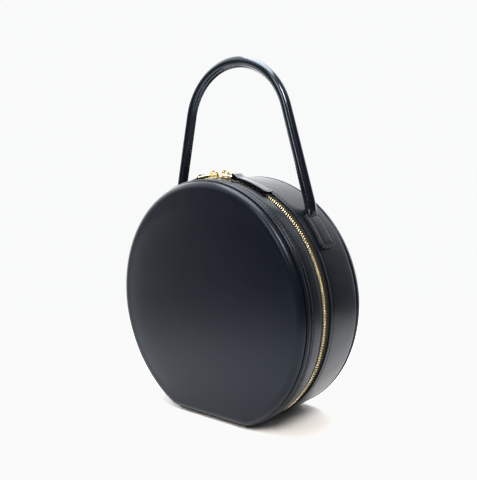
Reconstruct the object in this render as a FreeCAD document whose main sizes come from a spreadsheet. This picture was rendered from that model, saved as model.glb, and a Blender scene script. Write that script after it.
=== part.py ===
import FreeCAD, Part
import math
import os
import re

import Sketcher
from FreeCAD import Placement, Rotation, Vector

# A round leather handbag: two padded round faces joined by a side strip, a flat base, a two-way
# zip that runs over the top from one base corner to the other, and one rolled top handle.
# Origin: middle of the base, on the surface that it stands on. X right, Y back, Z up.

# Driving sizes, in millimetres, with angles in degrees
SIZES = {
    "drum_radius": (112.5, "outside radius of the side strip"),
    "base_cut": (8.3, "how far the flat base cuts into the drum's circle"),
    "seam_depth": (37.0, "from the middle of the bag to the seam of each face"),
    "face_bulge": (7.0, "how far a padded face stands out from its seam"),
    "edge_round": (6.5, "radius of a face's rolled edge"),
    "face_inset": (1.6, "how far a face's outline lies inside the side strip"),
    "face_floor_gap": (2.8, "height of a face's lower edge above the floor"),
    "corner_round": (14.0, "radius of a face's two lower corners"),
    "leather": (1.6, "thickness of the shell leather"),
    "board": (1.5, "thickness of the stiffening boards"),
    "base_stiffener": (2.0, "thickness of the base board"),
    "lining": (0.8, "thickness of the lining cloth"),
    "play": (0.1, "room left between layers"),
    "seam_gap": (0.2, "room left where edges meet at a seam"),
    "piping": (3.6, "diameter of the piping round each face"),
    "zip_depth": (24.0, "from the front seam to the middle of the zip"),
    "zip_window": (13.0, "opening between the side strips where the zip shows"),
    "tape": (0.6, "thickness of the zip tape"),
    "tape_width": (13.0, "width of one zip tape beyond its teeth"),
    "chain_width": (5.4, "width of the closed teeth"),
    "chain_slot": (1.6, "room between the two rows of teeth"),
    "tooth_pitch": (2.28, "distance from one tooth to the next in a row"),
    "tooth_thickness": (1.25, "tooth size along the zip"),
    "tooth_height": (2.4, "tooth size through the tape"),
    "tooth_recess": (0.8, "depth of the teeth below the side strip's surface"),
    "zip_end_room": (6.0, "angle kept free of teeth at each base corner"),
    "stop_length": (3.2, "length of an end stop along the zip"),
    "slider_angle": (5.1, "angle of a closed slider from the top"),
    "slider_length": (15.0, "length of a slider"),
    "slider_width": (9.0, "width of a slider at its mouth"),
    "slider_tail": (7.0, "width of a slider at its narrow end"),
    "slider_plate": (1.3, "thickness of a slider's plates"),
    "slider_room": (0.8, "room between the teeth and the outer plate"),
    "slider_under_room": (1.2, "room between the teeth and the inner plate"),
    "slider_corner": (1.6, "corner radius of a slider's plates"),
    "slider_side_room": (1.0, "room between a slider and the lining beside it"),
    "neck_width": (1.0, "thickness of the wedge between a slider's plates"),
    "neck_length": (3.0, "length of that wedge"),
    "neck_inset": (1.0, "distance of that wedge from the slider's mouth"),
    "crown_radius": (4.0, "outside radius of the loop on a slider"),
    "crown_rise": (2.6, "length of that loop's upright legs"),
    "crown_shift": (3.2, "distance of that loop from its slider's middle, towards the mouth"),
    "crown_strap": (1.2, "thickness of that loop"),
    "crown_width": (3.2, "width of that loop"),
    "link_wire": (1.8, "wire diameter of a pull's link"),
    "link_length": (12.4, "length of a link between its two bars"),
    "link_round": (1.1, "corner radius of a link"),
    "link_height": (3.2, "height of a link's bars above the side strip"),
    "link_offset": (1.0, "distance of a link's pivot from the loop's middle, away from the mouth"),
    "eye_room": (0.2, "room between a link and what it passes through"),
    "pull_width": (11.8, "width of a leather pull"),
    "pull_length": (39.0, "length of a leather pull beyond its link"),
    "pull_thickness": (3.0, "thickness of a leather pull, two layers"),
    "pull_lift": (1.0, "height of a pull above the side strip"),
    "pull_fold": (1.5, "thickness of the fold round the link"),
    "pull_corner": (3.0, "corner radius of a pull's free end"),
    "handle_offset": (11.4, "how far the handle lies behind the middle"),
    "handle_radius": (5.0, "outside radius of the rolled handle"),
    "handle_core": (3.6, "radius of the rope inside the handle"),
    "handle_drop": (105.3, "height of the handle's centreline above the drum"),
    "arch_radius": (61.0, "centreline radius of the handle's arch"),
    "handle_angle": (44.3, "angle from the top at which the handle's ends lie"),
    "handle_lift": (0.8, "height of the handle's ends above the side strip"),
    "tab_width": (18.5, "width of a handle tab"),
    "tab_length": (32.0, "length of a handle tab"),
    "tab_backing": (1.4, "thickness of the layer under a handle tab"),
    "tab_gap": (0.4, "room between a handle tab and the handle's end"),
    "tab_corner": (8.0, "corner radius of a handle tab's lower end"),
}

doc = FreeCAD.newDocument("CircleBag")
sheet = doc.addObject("Spreadsheet::Sheet", "Sizes")
for row, (name, (value, meaning)) in enumerate(SIZES.items(), start=1):
    sheet.set(f"A{row}", meaning)
    sheet.set(f"B{row}", str(value))
    sheet.setAlias(f"B{row}", name)
doc.recompute()


def formula(text):
    """Write a formula of plain size names as one that reads the sheet's cells."""
    return re.sub(r"[a-z_]+", lambda m: f"Sizes.{m[0]}" if m[0] in SIZES else m[0], text)


def number(text):
    """Work a formula out now."""
    result = sheet.evalExpression(formula(text))
    return float(getattr(result, "Value", result))


# Places that several pieces share
CENTRE_HEIGHT = "(drum_radius - base_cut)"
FLOOR = f"(-{CENTRE_HEIGHT})"
HALF_BASE_ANGLE = f"acos({CENTRE_HEIGHT} / drum_radius)"
CORNER_ANGLE = f"(180 * 1 deg - {HALF_BASE_ANGLE})"
RING_ANGLE = f"({CORNER_ANGLE} - asin(seam_gap / drum_radius))"
GUSSET_EDGE = "(seam_depth - piping - seam_gap)"
ZIP_PLACE = "(zip_depth - seam_depth)"
TAPE_OUTSIDE = "(drum_radius - leather - play)"
TAPE_INSIDE = f"({TAPE_OUTSIDE} - tape)"
LINING_OUTSIDE = f"({TAPE_INSIDE} - play)"
LINING_INSIDE = f"({LINING_OUTSIDE} - lining)"
BASE_TOP = "(leather + play + base_stiffener + play + lining)"
WALL_RADIUS = "(drum_radius - piping - seam_gap)"
WALL_FLAT = f"({CENTRE_HEIGHT} - {BASE_TOP} - 2 * seam_gap)"
TEETH_OUTSIDE = "(drum_radius - tooth_recess)"
TEETH_INSIDE = f"({TEETH_OUTSIDE} - tooth_height)"
TOOTH_ANGLE = f"(tooth_pitch / ({TEETH_OUTSIDE} - tooth_height / 2) * 180 * 1 deg / pi)"
ROW_STEPS = f"floor(2 * ({CORNER_ANGLE} - zip_end_room * 1 deg) / {TOOTH_ANGLE})"
PLATE_LOW = f"({TEETH_OUTSIDE} + slider_room)"
PLATE_TOP = f"({PLATE_LOW} + slider_plate)"
UNDER_TOP = f"({TEETH_INSIDE} - slider_under_room)"
UNDER_LOW = f"({UNDER_TOP} - slider_plate)"
LINK_RADIUS = "(drum_radius + link_height)"
PIVOT_ANGLE = f"(slider_angle * 1 deg + asin((link_offset - crown_shift) / {LINK_RADIUS}))"
HALF_LINK_ANGLE = f"asin(link_length / 2 / {LINK_RADIUS})"
HANDLE_END_RADIUS = "(drum_radius + handle_radius + handle_lift)"
HANDLE_TOP = "(drum_radius + handle_drop)"
TAB_THICKNESS = "(tab_backing + leather + 2 * play)"
TAB_REACH = f"sqrt((handle_radius + tab_gap)^2 - (handle_radius + handle_lift - {TAB_THICKNESS})^2)"
TAB_ANGLE = f"(handle_angle * 1 deg + asin({TAB_REACH} / (drum_radius + {TAB_THICKNESS})))"
TAB_SPAN = "(tab_length / drum_radius * 180 * 1 deg / pi)"
PULL_SPAN = "(pull_length / drum_radius * 180 * 1 deg / pi)"

# How far along the zip each row of teeth is shifted, as a share of the pitch
FRONT_ROW_SHIFT, REAR_ROW_SHIFT = (step / 4 for step in (1, 3))

# The points of a line or arc in a sketch, and the sketch's own origin and upright axis
START, END, MIDDLE = range(1, 4)
ORIGIN, UPRIGHT = range(-1, -3, -1)


class Outline:
    """A sketch on one of a body's origin planes, with its sizes tied to the sheet."""

    def __init__(self, body, name, plane, along="0"):
        self.sketch = body.newObject("Sketcher::SketchObject", f"{body.Name}_{name}")
        self.sketch.AttachmentSupport = (origin_feature(body, plane), [""])
        self.sketch.MapMode = "FlatFace"
        self.sketch.setExpression("AttachmentOffset.Base.z", formula(along))

    def tie(self, kind, *where, size=None):
        """Add a constraint, with its size read from a formula where it has one."""
        if size is None:
            self.sketch.addConstraint(Sketcher.Constraint(kind, *where))
            return
        index = self.sketch.addConstraint(Sketcher.Constraint(kind, *where, number(size)))
        self.sketch.setExpression(f"Constraints[{index}]", formula(size))

    def at(self, piece, end, across, up):
        """Hold a point at a distance across and up from the sketch's origin."""
        for kind, size in (("DistanceX", across), ("DistanceY", up)):
            if size == "0":
                axis = UPRIGHT if kind == "DistanceX" else ORIGIN
                self.tie("PointOnObject", piece, end, axis)
            elif number(size) > 0:
                self.tie(kind, ORIGIN, START, piece, end, size=size)
            else:
                self.tie(kind, piece, end, ORIGIN, START, size=f"-({size})")

    def line(self, start, end):
        return self.sketch.addGeometry(Part.LineSegment(Vector(*start), Vector(*end)))

    def arc(self, centre, radius, start, end):
        circle = Part.Circle(Vector(*centre), Vector(0, 0, 1), radius)
        return self.sketch.addGeometry(Part.ArcOfCircle(circle, start, end))

    def polygon(self, corners):
        """Draw a closed outline of straight lines through corners, each a pair of formulas."""
        points = [(number(across), number(up)) for across, up in corners]
        lines = [self.line(p, q) for p, q in zip(points, points[1:] + points[:1])]
        for line, following in zip(lines, lines[1:] + lines[:1]):
            self.tie("Coincident", line, END, following, START)
        for line, (across, up) in zip(lines, corners):
            self.at(line, START, across, up)
        return self.sketch

    def rectangle(self, left, right, low, high):
        return self.polygon([(left, low), (right, low), (right, high), (left, high)])

    def circle(self, across, up, radius):
        middle = Vector(number(across), number(up))
        circle = self.sketch.addGeometry(Part.Circle(middle, Vector(0, 0, 1), number(radius)))
        self.tie("Radius", circle, size=radius)
        self.at(circle, MIDDLE, across, up)
        return self.sketch

    def rounded_rectangle(self, half_long, half_wide, corner):
        """Draw a rectangle with round corners, its middle at the origin."""
        long, wide, small = number(half_long), number(half_wide), number(corner)
        straight, side = long - small, wide - small
        quarter = math.pi / 2
        ends = [((-straight, -wide), (straight, -wide)), ((long, -side), (long, side)),
                ((straight, wide), (-straight, wide)), ((-long, side), (-long, -side))]
        middles = [(straight, -side), (straight, side), (-straight, side), (-straight, -side)]
        runs, rounds = [], []
        for turn, (run, middle) in enumerate(zip(ends, middles)):
            runs.append(self.line(*run))
            rounds.append(self.arc(middle, small, (turn - 1) * quarter, turn * quarter))
        for turn, bend in enumerate(rounds):
            self.tie("Tangent", runs[turn], END, bend, START)
            self.tie("Tangent", bend, END, runs[(turn + 1) % 4], START)
            self.tie("Horizontal" if turn % 2 == 0 else "Vertical", runs[turn])
        for bend in rounds[1:]:
            self.tie("Equal", rounds[0], bend)
        self.tie("Radius", rounds[0], size=corner)
        self.tie("DistanceY", runs[0], START, ORIGIN, START, size=half_wide)
        self.tie("DistanceX", ORIGIN, START, runs[1], START, size=half_long)
        self.tie("DistanceY", ORIGIN, START, runs[2], START, size=half_wide)
        self.tie("DistanceX", runs[3], START, ORIGIN, START, size=half_long)
        return self.sketch

    def arch(self, across, foot, rise, radius):
        """Draw a round arch on two upright legs, closed along its foot."""
        middle, low, leg, half = number(across), number(foot), number(rise), number(radius)
        left, right, spring = middle - half, middle + half, low + leg
        over = self.arc((middle, spring), half, 0, math.pi)
        near = self.line((left, spring), (left, low))
        base = self.line((left, low), (right, low))
        far = self.line((right, low), (right, spring))
        self.tie("Tangent", over, END, near, START)
        self.tie("Coincident", near, END, base, START)
        self.tie("Coincident", base, END, far, START)
        self.tie("Tangent", far, END, over, START)
        self.tie("Horizontal", base)
        self.tie("Radius", over, size=radius)
        self.at(over, MIDDLE, across, f"{foot} + {rise}")
        self.tie("DistanceY", ORIGIN, START, base, START, size=foot)
        return self.sketch

    def flat_circle(self, radius, flat, corner):
        """Draw a circle round the origin with a flat below it and two rounded corners."""
        big, drop, small = number(radius), number(flat), number(corner)
        reach = math.sqrt((big - small) ** 2 - (drop - small) ** 2)
        turn = math.atan2(small - drop, reach)
        over = self.arc((0, 0), big, turn, math.pi - turn)
        left = self.arc((-reach, small - drop), small, math.pi - turn, 1.5 * math.pi)
        chord = self.line((-reach, -drop), (reach, -drop))
        right = self.arc((reach, small - drop), small, -math.pi / 2, turn)
        self.tie("Coincident", over, MIDDLE, ORIGIN, START)
        self.tie("Radius", over, size=radius)
        self.tie("Tangent", over, END, left, START)
        self.tie("Tangent", left, END, chord, START)
        self.tie("Tangent", chord, END, right, START)
        self.tie("Tangent", right, END, over, START)
        self.tie("Horizontal", chord)
        self.tie("Equal", left, right)
        self.tie("Radius", left, size=corner)
        self.tie("DistanceY", chord, START, ORIGIN, START, size=flat)
        return self.sketch


def origin_feature(body, role):
    return next(part for part in body.Origin.OriginFeatures if part.Role == role)


def new_body(label, sideways="0", turn=None, side=1):
    """Start a sub-part whose own origin is on the drum's axis, turned about that axis."""
    body = doc.addObject("PartDesign::Body", label)
    body.Label = label
    if turn is not None:
        body.Placement = Placement(Vector(), Rotation(Vector(0, side, 0), number(turn)))
        body.setExpression("Placement.Rotation.Angle", formula(turn))
    body.setExpression("Placement.Base.y", formula(sideways))
    body.setExpression("Placement.Base.z", formula(CENTRE_HEIGHT))
    return body


def feature(body, kind, name, profile=None, **sizes):
    """Add a feature to a body, with its sizes given as formulas."""
    made = body.newObject(f"PartDesign::{kind}", f"{body.Name}_{name}")
    if profile is not None:
        made.Profile = profile
    for size, text in sizes.items():
        made.setExpression(size, formula(text))
    return made


def pad(body, name, profile, length, reverse=False, middle=False):
    made = feature(body, "Pad", name, profile, Length=length)
    made.SideType = "Symmetric" if middle else "One side"
    made.Reversed = reverse
    return made


def pocket(body, name, profile, length, reverse=False, middle=False):
    made = feature(body, "Pocket", name, profile, Length=length)
    made.SideType = "Symmetric" if middle else "One side"
    made.Reversed = reverse
    return made


def revolve(body, name, profile, angle, reverse=False, middle=False):
    made = feature(body, "Revolution", name, profile, Angle=angle)
    made.ReferenceAxis = (origin_feature(body, "Y_Axis"), [""])
    made.Midplane = middle
    made.Reversed = reverse
    return made


def pipe(body, kind, name, section, route):
    """Sweep a section along every edge of a route."""
    doc.recompute()
    made = feature(body, kind, name, section)
    made.Spine = (route, [f"Edge{i}" for i in range(1, len(route.Shape.Edges) + 1)])
    return made


def round_edges(body, name, base, radius, chosen):
    """Round those edges of a feature that a test on the edge picks."""
    doc.recompute()
    picked = [f"Edge{i}" for i, edge in enumerate(base.Shape.Edges, start=1) if chosen(edge)]
    made = feature(body, "Fillet", name, Radius=radius)
    made.Base = (base, picked)
    return made


def edges_at_depth(depth):
    """Pick the edges that lie in a plane across the bag."""
    place = number(depth)
    return lambda edge: all(abs(v.Point.y - place) < 1e-4 for v in edge.Vertexes)


def upright_edges(off_middle):
    """Pick straight upright edges further than a distance from the middle plane."""
    def chosen(edge):
        straight = edge.Curve.TypeId == "Part::GeomLine"
        upright = straight and abs(edge.Curve.Direction.z) > 0.999
        return upright and abs(edge.Vertexes[0].Point.y) > off_middle
    return chosen


def short_edges_beyond(across):
    """Pick straight edges, square to Y, that lie further from the middle than a place across."""
    def chosen(edge):
        straight = edge.Curve.TypeId == "Part::GeomLine"
        square = straight and abs(edge.Curve.Direction.y) < 1e-6
        return square and edge.Vertexes[0].Point.x / across > 1
    return chosen


def ring(label, front, back, inside, outside):
    """A strip bent round the drum from one base corner to the other."""
    body = new_body(label)
    section = Outline(body, "section", "YZ_Plane").rectangle(front, back, inside, outside)
    revolve(body, "bend", section, f"2 * {RING_ANGLE}", middle=True)


# The two faces: leather dish, padding, stiff board and lining
def face(name, side):
    """Make one face. Side is -1 at the front and 1 at the back."""
    at_back = side > 0
    face_flat = f"({CENTRE_HEIGHT} - face_floor_gap)"
    panel_round = "min(edge_round; face_bulge - seam_gap)"

    def depth(text):
        """A distance out from the middle, as one along the sketch plane's normal."""
        return f"{-side} * ({text})"

    panel = new_body(f"{name}_panel")
    outline = Outline(panel, "outline", "XZ_Plane", depth("seam_depth"))
    shape = outline.flat_circle("drum_radius - face_inset", face_flat, "corner_round")
    block = pad(panel, "block", shape, "face_bulge", reverse=at_back)
    rolled = round_edges(panel, "rolled", block, panel_round,
                         edges_at_depth(f"{side} * (seam_depth + face_bulge)"))
    doc.recompute()
    open_side = [f"Face{i}" for i, part in enumerate(rolled.Shape.Faces, start=1)
                 if all(abs(v.Point.y - number(f"{side} * seam_depth")) < 1e-4 for v in part.Vertexes)]
    wall = feature(panel, "Thickness", "wall", Value="leather")
    wall.Base = (rolled, open_side)
    wall.Reversed = True
    doc.recompute()
    if not wall.Shape.Volume < rolled.Shape.Volume / 2:
        raise ValueError(f"{name}_panel isn't hollow")

    padding = new_body(f"{name}_padding")
    outline = Outline(padding, "outline", "XZ_Plane", depth("seam_depth"))
    shape = outline.flat_circle("drum_radius - face_inset - leather - play",
                                f"{face_flat} - leather - play", "corner_round - leather - play")
    block = pad(padding, "block", shape, "face_bulge - leather - play", reverse=at_back)
    round_edges(padding, "rolled", block, f"max({panel_round} - leather - play; play)",
                edges_at_depth(f"{side} * (seam_depth + face_bulge - leather - play)"))

    stack = [("board", "board", "seam_depth - play - board"),
             ("lining", "lining", "seam_depth - 2 * play - board - lining")]
    for layer, thickness, start in stack:
        disc = new_body(f"{name}_{layer}")
        outline = Outline(disc, "outline", "XZ_Plane", depth(start))
        shape = outline.flat_circle(WALL_RADIUS, WALL_FLAT, "corner_round")
        pad(disc, "sheet", shape, thickness, reverse=at_back)


def piping_section(body, side):
    place = f"{side} * (seam_depth - piping / 2)"
    section = Outline(body, "section", "YZ_Plane")
    return section.circle(place, "drum_radius - piping / 2", "piping / 2")


def base_piping(body, side, level):
    """The straight run of piping along the base, ending at the corner's cut at a level above the floor."""
    place = f"{side} * (seam_depth - piping / 2)"
    section = Outline(body, "base_section", "YZ_Plane")
    section.circle(place, f"{FLOOR} + piping / 2", "piping / 2")
    run = f"2 * (({CENTRE_HEIGHT} - {level}) * tan({HALF_BASE_ANGLE}) - seam_gap)"
    pad(body, "base_run", section.sketch, run, middle=True)


# The flat base
def base_layer(label, low, high):
    """A flat layer between the base corners, with its ends square to the side strip."""
    def half_length(level):
        return f"(({CENTRE_HEIGHT} - ({level})) * tan({HALF_BASE_ANGLE}) - seam_gap)"

    body = new_body(label)
    end = Outline(body, "outline", "XZ_Plane")
    end.polygon([(f"-{half_length(low)}", f"{FLOOR} + {low}"),
                 (half_length(low), f"{FLOOR} + {low}"),
                 (half_length(high), f"{FLOOR} + {high}"),
                 (f"-{half_length(high)}", f"{FLOOR} + {high}")])
    pad(body, "sheet", end.sketch, f"2 * {GUSSET_EDGE}", middle=True)


# The zip
def teeth_row(label, near, far, shift):
    """One row of separate teeth. Near and far are distances behind the middle."""
    body = new_body(label, turn=f"{ROW_STEPS} * {TOOTH_ANGLE} / 2 - {shift} * {TOOTH_ANGLE}", side=-1)
    outline = Outline(body, "outline", "XY_Plane", TEETH_INSIDE)
    outline.rectangle("-tooth_thickness / 2", "tooth_thickness / 2", near, far)
    tooth = pad(body, "tooth", outline.sketch, "tooth_height")
    row = body.newObject("PartDesign::PolarPattern", f"{body.Name}_row")
    row.Originals = [tooth]
    row.Axis = (origin_feature(body, "Y_Axis"), [""])
    row.Mode = "Spacing"
    row.setExpression("Offset", formula(TOOTH_ANGLE))
    row.setExpression("Occurrences", formula(ROW_STEPS))
    body.Tip = row


def zip_stop(name, side):
    stop_angle = f"({CORNER_ANGLE} - zip_end_room * 1 deg / 2)"
    span = "(stop_length / drum_radius * 180 * 1 deg / pi)"
    body = new_body(f"{name}_zip_stop", turn=f"{stop_angle} - {span} / 2", side=side)
    section = Outline(body, "section", "YZ_Plane")
    section.rectangle(f"{ZIP_PLACE} + chain_slot / 2", f"{ZIP_PLACE} + chain_width / 2",
                      TEETH_INSIDE, TEETH_OUTSIDE)
    revolve(body, "clip", section.sketch, span, reverse=side < 0)


def slider(name, side):
    """A slider lies on the zip with its mouth towards the top of the bag."""
    def plate_outline(body, name, level):
        mouth = f"{-side} * slider_length / 2"
        tail = f"{side} * slider_length / 2"
        outline = Outline(body, name, "XY_Plane", level)
        return outline.polygon([(mouth, "-slider_width / 2"), (tail, "-slider_tail / 2"),
                                (tail, "slider_tail / 2"), (mouth, "slider_width / 2")])

    body = new_body(f"{name}_slider_body", ZIP_PLACE, "slider_angle * 1 deg", side)
    under = plate_outline(body, "under_outline", UNDER_LOW)
    pad(body, "under_plate", under, "slider_plate")
    wedge = Outline(body, "wedge_outline", "XY_Plane", UNDER_TOP)
    wedge_start = "(-slider_length / 2 + neck_inset)"
    near, far = sorted((f"{side} * {wedge_start}", f"{side} * ({wedge_start} + neck_length)"), key=number)
    wedge.rectangle(near, far, "-neck_width / 2", "neck_width / 2")
    pad(body, "wedge", wedge.sketch, f"{PLATE_LOW} - {UNDER_TOP}")
    over = plate_outline(body, "over_outline", PLATE_LOW)
    plates = pad(body, "over_plate", over, "slider_plate")
    round_edges(body, "corners", plates, "slider_corner", upright_edges(number("neck_width")))

    crown = new_body(f"{name}_slider_crown", ZIP_PLACE, "slider_angle * 1 deg", side)
    middle = f"{-side} * crown_shift"
    outside = Outline(crown, "outside", "XZ_Plane").arch(middle, PLATE_TOP, "crown_rise", "crown_radius")
    pad(crown, "strap", outside, "crown_width", middle=True)
    inside = Outline(crown, "inside", "XZ_Plane").arch(middle, PLATE_TOP, "crown_rise",
                                                       "crown_radius - crown_strap")
    pocket(crown, "opening", inside, "2 * crown_width", middle=True)


def pull(name, side):
    """A wire link through the slider's loop, and a leather tab folded round it."""
    link = new_body(f"{name}_pull_link", ZIP_PLACE, f"{PIVOT_ANGLE} + {HALF_LINK_ANGLE}", side)
    level = f"sqrt({LINK_RADIUS}^2 - (link_length / 2)^2)"
    half_width = "(pull_width / 2 + eye_room + max(link_round; link_wire / 2))"
    route = Outline(link, "route", "XY_Plane", level)
    route.rounded_rectangle("link_length / 2", half_width, "link_round")
    section = Outline(link, "section", "YZ_Plane", "-link_length / 2 + link_round")
    section.circle(f"-{half_width}", level, "link_wire / 2")
    pipe(link, "AdditivePipe", "wire", section.sketch, route.sketch)

    tab = new_body(f"{name}_pull_tab", ZIP_PLACE, f"{PIVOT_ANGLE} + 2 * {HALF_LINK_ANGLE}", side)
    section = Outline(tab, "section", "YZ_Plane")
    section.rectangle("-pull_width / 2", "pull_width / 2", "drum_radius + pull_lift",
                      "drum_radius + pull_lift + pull_thickness")
    strip = revolve(tab, "strip", section.sketch, PULL_SPAN, reverse=side < 0)
    far = number(f"{side} * drum_radius * sin({PULL_SPAN}) / 2")
    round_edges(tab, "free_end", strip, "pull_corner", short_edges_beyond(far))
    fold = Outline(tab, "fold_outline", "XZ_Plane")
    fold.circle("0", LINK_RADIUS, "link_wire / 2 + eye_room + pull_fold")
    pad(tab, "fold", fold.sketch, "pull_width", middle=True)
    eye = Outline(tab, "eye_outline", "XZ_Plane")
    eye.circle("0", LINK_RADIUS, "link_wire / 2 + eye_room")
    pocket(tab, "eye", eye.sketch, "2 * pull_width", middle=True)


# The handle and its tabs
def handle_tab(name, side):
    """Two layers of leather sewn to the side strip below one end of the handle."""
    near, far = "handle_offset - tab_width / 2", "handle_offset + tab_width / 2"
    layers = [("tab_backing", "drum_radius + play", "tab_backing"),
              ("handle_tab", "drum_radius + 2 * play + tab_backing", "leather")]
    for layer, inside, thickness in layers:
        body = new_body(f"{name}_{layer}", turn=TAB_ANGLE, side=side)
        section = Outline(body, "section", "YZ_Plane")
        section.rectangle(near, far, inside, f"{inside} + {thickness}")
        strip = revolve(body, "strip", section.sketch, TAB_SPAN, reverse=side < 0)
        lower = number(f"{side} * drum_radius * sin({TAB_SPAN}) / 2")
        round_edges(body, "lower_end", strip, "tab_corner", short_edges_beyond(lower))


def handle_half(body, name, side):
    """Draw the handle's centreline from the top of the arch to the end of one leg.

    Returns the sketch and the place of the leg's end.
    """
    end_x = f"({side} * {HANDLE_END_RADIUS} * sin(handle_angle * 1 deg))"
    end_z = f"({HANDLE_END_RADIUS} * cos(handle_angle * 1 deg))"
    radius, top = number("arch_radius"), number(HANDLE_TOP)
    x, z = number(end_x), number(end_z)
    away = math.hypot(x, top - radius - z)
    turn = math.atan2(abs(x), z - top + radius) - math.acos(radius / away)
    meet = (side * radius * math.sin(turn), top - radius + radius * math.cos(turn))
    route = Outline(body, f"{name}_route", "XZ_Plane")
    upright, swing = math.pi / 2, sorted((0, -side * turn))
    arch = route.arc((0, top - radius), radius, upright + swing[0], upright + swing[1])
    leg = route.line(meet, (x, z))
    apex, shoulder = (END, START) if side > 0 else (START, END)
    route.tie("Tangent", arch, shoulder, leg, START)
    route.tie("PointOnObject", arch, MIDDLE, UPRIGHT)
    route.tie("Radius", arch, size="arch_radius")
    route.at(arch, apex, "0", HANDLE_TOP)
    route.at(leg, END, end_x, end_z)
    return route.sketch, end_x, end_z


def handle_piece(label, radius, bore=None):
    """A rod or tube along the whole handle. A tube has closed round ends."""
    body = new_body(label, "handle_offset")
    section = Outline(body, "section", "YZ_Plane").circle("0", HANDLE_TOP, radius)
    halves = [handle_half(body, "right", 1), handle_half(body, "left", -1)]
    for route, end_x, end_z in halves:
        pipe(body, "AdditivePipe", "rod", section, route)
        if bore:
            ball = feature(body, "AdditiveSphere", "end", Radius=radius)
            ball.setExpression("Placement.Base.x", formula(end_x))
            ball.setExpression("Placement.Base.z", formula(end_z))
    if bore:
        bore_section = Outline(body, "bore_section", "YZ_Plane").circle("0", HANDLE_TOP, bore)
        for route, _, _ in halves:
            pipe(body, "SubtractivePipe", "bore", bore_section, route)


# Build every piece
for face_name, face_side in (("front", -1), ("rear", 1)):
    face(face_name, face_side)

front_piping = new_body("front_piping")
revolve(front_piping, "bend", piping_section(front_piping, -1), f"2 * {RING_ANGLE}", middle=True)
base_piping(new_body("front_base_piping"), -1, "piping")
rear_piping = new_body("rear_piping")
revolve(rear_piping, "bend", piping_section(rear_piping, 1), f"2 * {RING_ANGLE}", middle=True)
base_piping(rear_piping, 1, "piping / 2")

front_edge = f"{ZIP_PLACE} - zip_window / 2"
rear_edge = f"{ZIP_PLACE} + zip_window / 2"
front_chain = [f"{ZIP_PLACE} - chain_width / 2", f"{ZIP_PLACE} - chain_slot / 2"]
rear_chain = [f"{ZIP_PLACE} + chain_slot / 2", f"{ZIP_PLACE} + chain_width / 2"]
slider_side = "(slider_width / 2 + slider_side_room)"
ring("front_gusset", f"-{GUSSET_EDGE}", front_edge, "drum_radius - leather", "drum_radius")
ring("rear_gusset", rear_edge, GUSSET_EDGE, "drum_radius - leather", "drum_radius")
ring("front_gusset_lining", f"-{GUSSET_EDGE}", f"{ZIP_PLACE} - {slider_side}",
     LINING_INSIDE, LINING_OUTSIDE)
ring("rear_gusset_lining", f"{ZIP_PLACE} + {slider_side}", GUSSET_EDGE,
     LINING_INSIDE, LINING_OUTSIDE)
ring("front_zip_tape", f"{front_chain[0]} - tape_width", front_chain[0], TAPE_INSIDE, TAPE_OUTSIDE)
ring("rear_zip_tape", rear_chain[1], f"{rear_chain[1]} + tape_width", TAPE_INSIDE, TAPE_OUTSIDE)
teeth_row("front_zip_teeth", *front_chain, FRONT_ROW_SHIFT)
teeth_row("rear_zip_teeth", *rear_chain, REAR_ROW_SHIFT)

base_layer("base_panel", "0", "leather")
base_layer("base_board", "(leather + play)", "(leather + play + base_stiffener)")
base_layer("base_lining", f"({BASE_TOP} - lining)", BASE_TOP)

for side_name, side_sign in (("left", -1), ("right", 1)):
    zip_stop(side_name, side_sign)
    slider(side_name, side_sign)
    pull(side_name, side_sign)
    handle_tab(side_name, side_sign)
handle_piece("handle_cover", "handle_radius", bore="(handle_core + play)")
handle_piece("handle_core", "handle_core")
doc.recompute()

# Test every piece, then write it
failed = [thing.Label for thing in doc.Objects if {"Invalid", "Error"} & set(thing.State)]
bodies = [thing for thing in doc.Objects if thing.isDerivedFrom("PartDesign::Body")]
failed += [body.Label for body in bodies if body.Shape.isNull() or not body.Shape.isValid()]
if failed:
    raise RuntimeError(f"not built: {failed}")
os.makedirs("parts", exist_ok=True)
for body in bodies:
    body.Shape.exportStep(f"parts/{body.Label}.step")
print(len(bodies), "pieces written")
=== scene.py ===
"""Dress the round leather handbag: leather, zip, handle, pulls and lining, on a pale studio floor."""
import logging
import math
from collections.abc import Sequence
from dataclasses import dataclass, field
from enum import Enum
from typing import Any

import bmesh
import bpy
import numpy as np
from mathutils import Matrix, Vector


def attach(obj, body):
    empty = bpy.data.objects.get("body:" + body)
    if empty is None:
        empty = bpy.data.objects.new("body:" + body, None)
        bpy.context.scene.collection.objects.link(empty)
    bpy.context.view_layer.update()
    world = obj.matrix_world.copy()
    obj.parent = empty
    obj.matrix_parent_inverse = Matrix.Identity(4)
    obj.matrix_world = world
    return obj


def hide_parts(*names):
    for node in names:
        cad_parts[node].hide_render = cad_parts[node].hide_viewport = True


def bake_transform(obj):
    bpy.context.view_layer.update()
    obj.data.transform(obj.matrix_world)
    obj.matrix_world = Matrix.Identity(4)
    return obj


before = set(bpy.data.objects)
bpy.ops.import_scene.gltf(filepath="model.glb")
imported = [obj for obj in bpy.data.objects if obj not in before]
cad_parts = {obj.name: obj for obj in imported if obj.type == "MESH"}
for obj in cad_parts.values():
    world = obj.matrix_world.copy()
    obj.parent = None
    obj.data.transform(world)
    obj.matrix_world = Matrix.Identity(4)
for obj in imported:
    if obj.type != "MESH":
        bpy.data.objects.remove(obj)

log = logging.getLogger("circle_bag")

MM = 0.001
TINY = 1e-9
Triple = tuple[float, float, float]
Pairs = tuple[tuple[float, float], ...]


class Labelled(Enum):
    """A choice whose name goes into the names of pieces."""

    @property
    def label(self) -> str:
        """The name in plain small letters."""
        return self.name.lower()


class Row(Labelled):
    """The half of the bag in front of the zip, and the half behind it."""

    FRONT = -1
    REAR = 1


class Side(Labelled):
    """The left and right of the bag, seen from the front."""

    LEFT = -1
    RIGHT = 1


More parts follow.
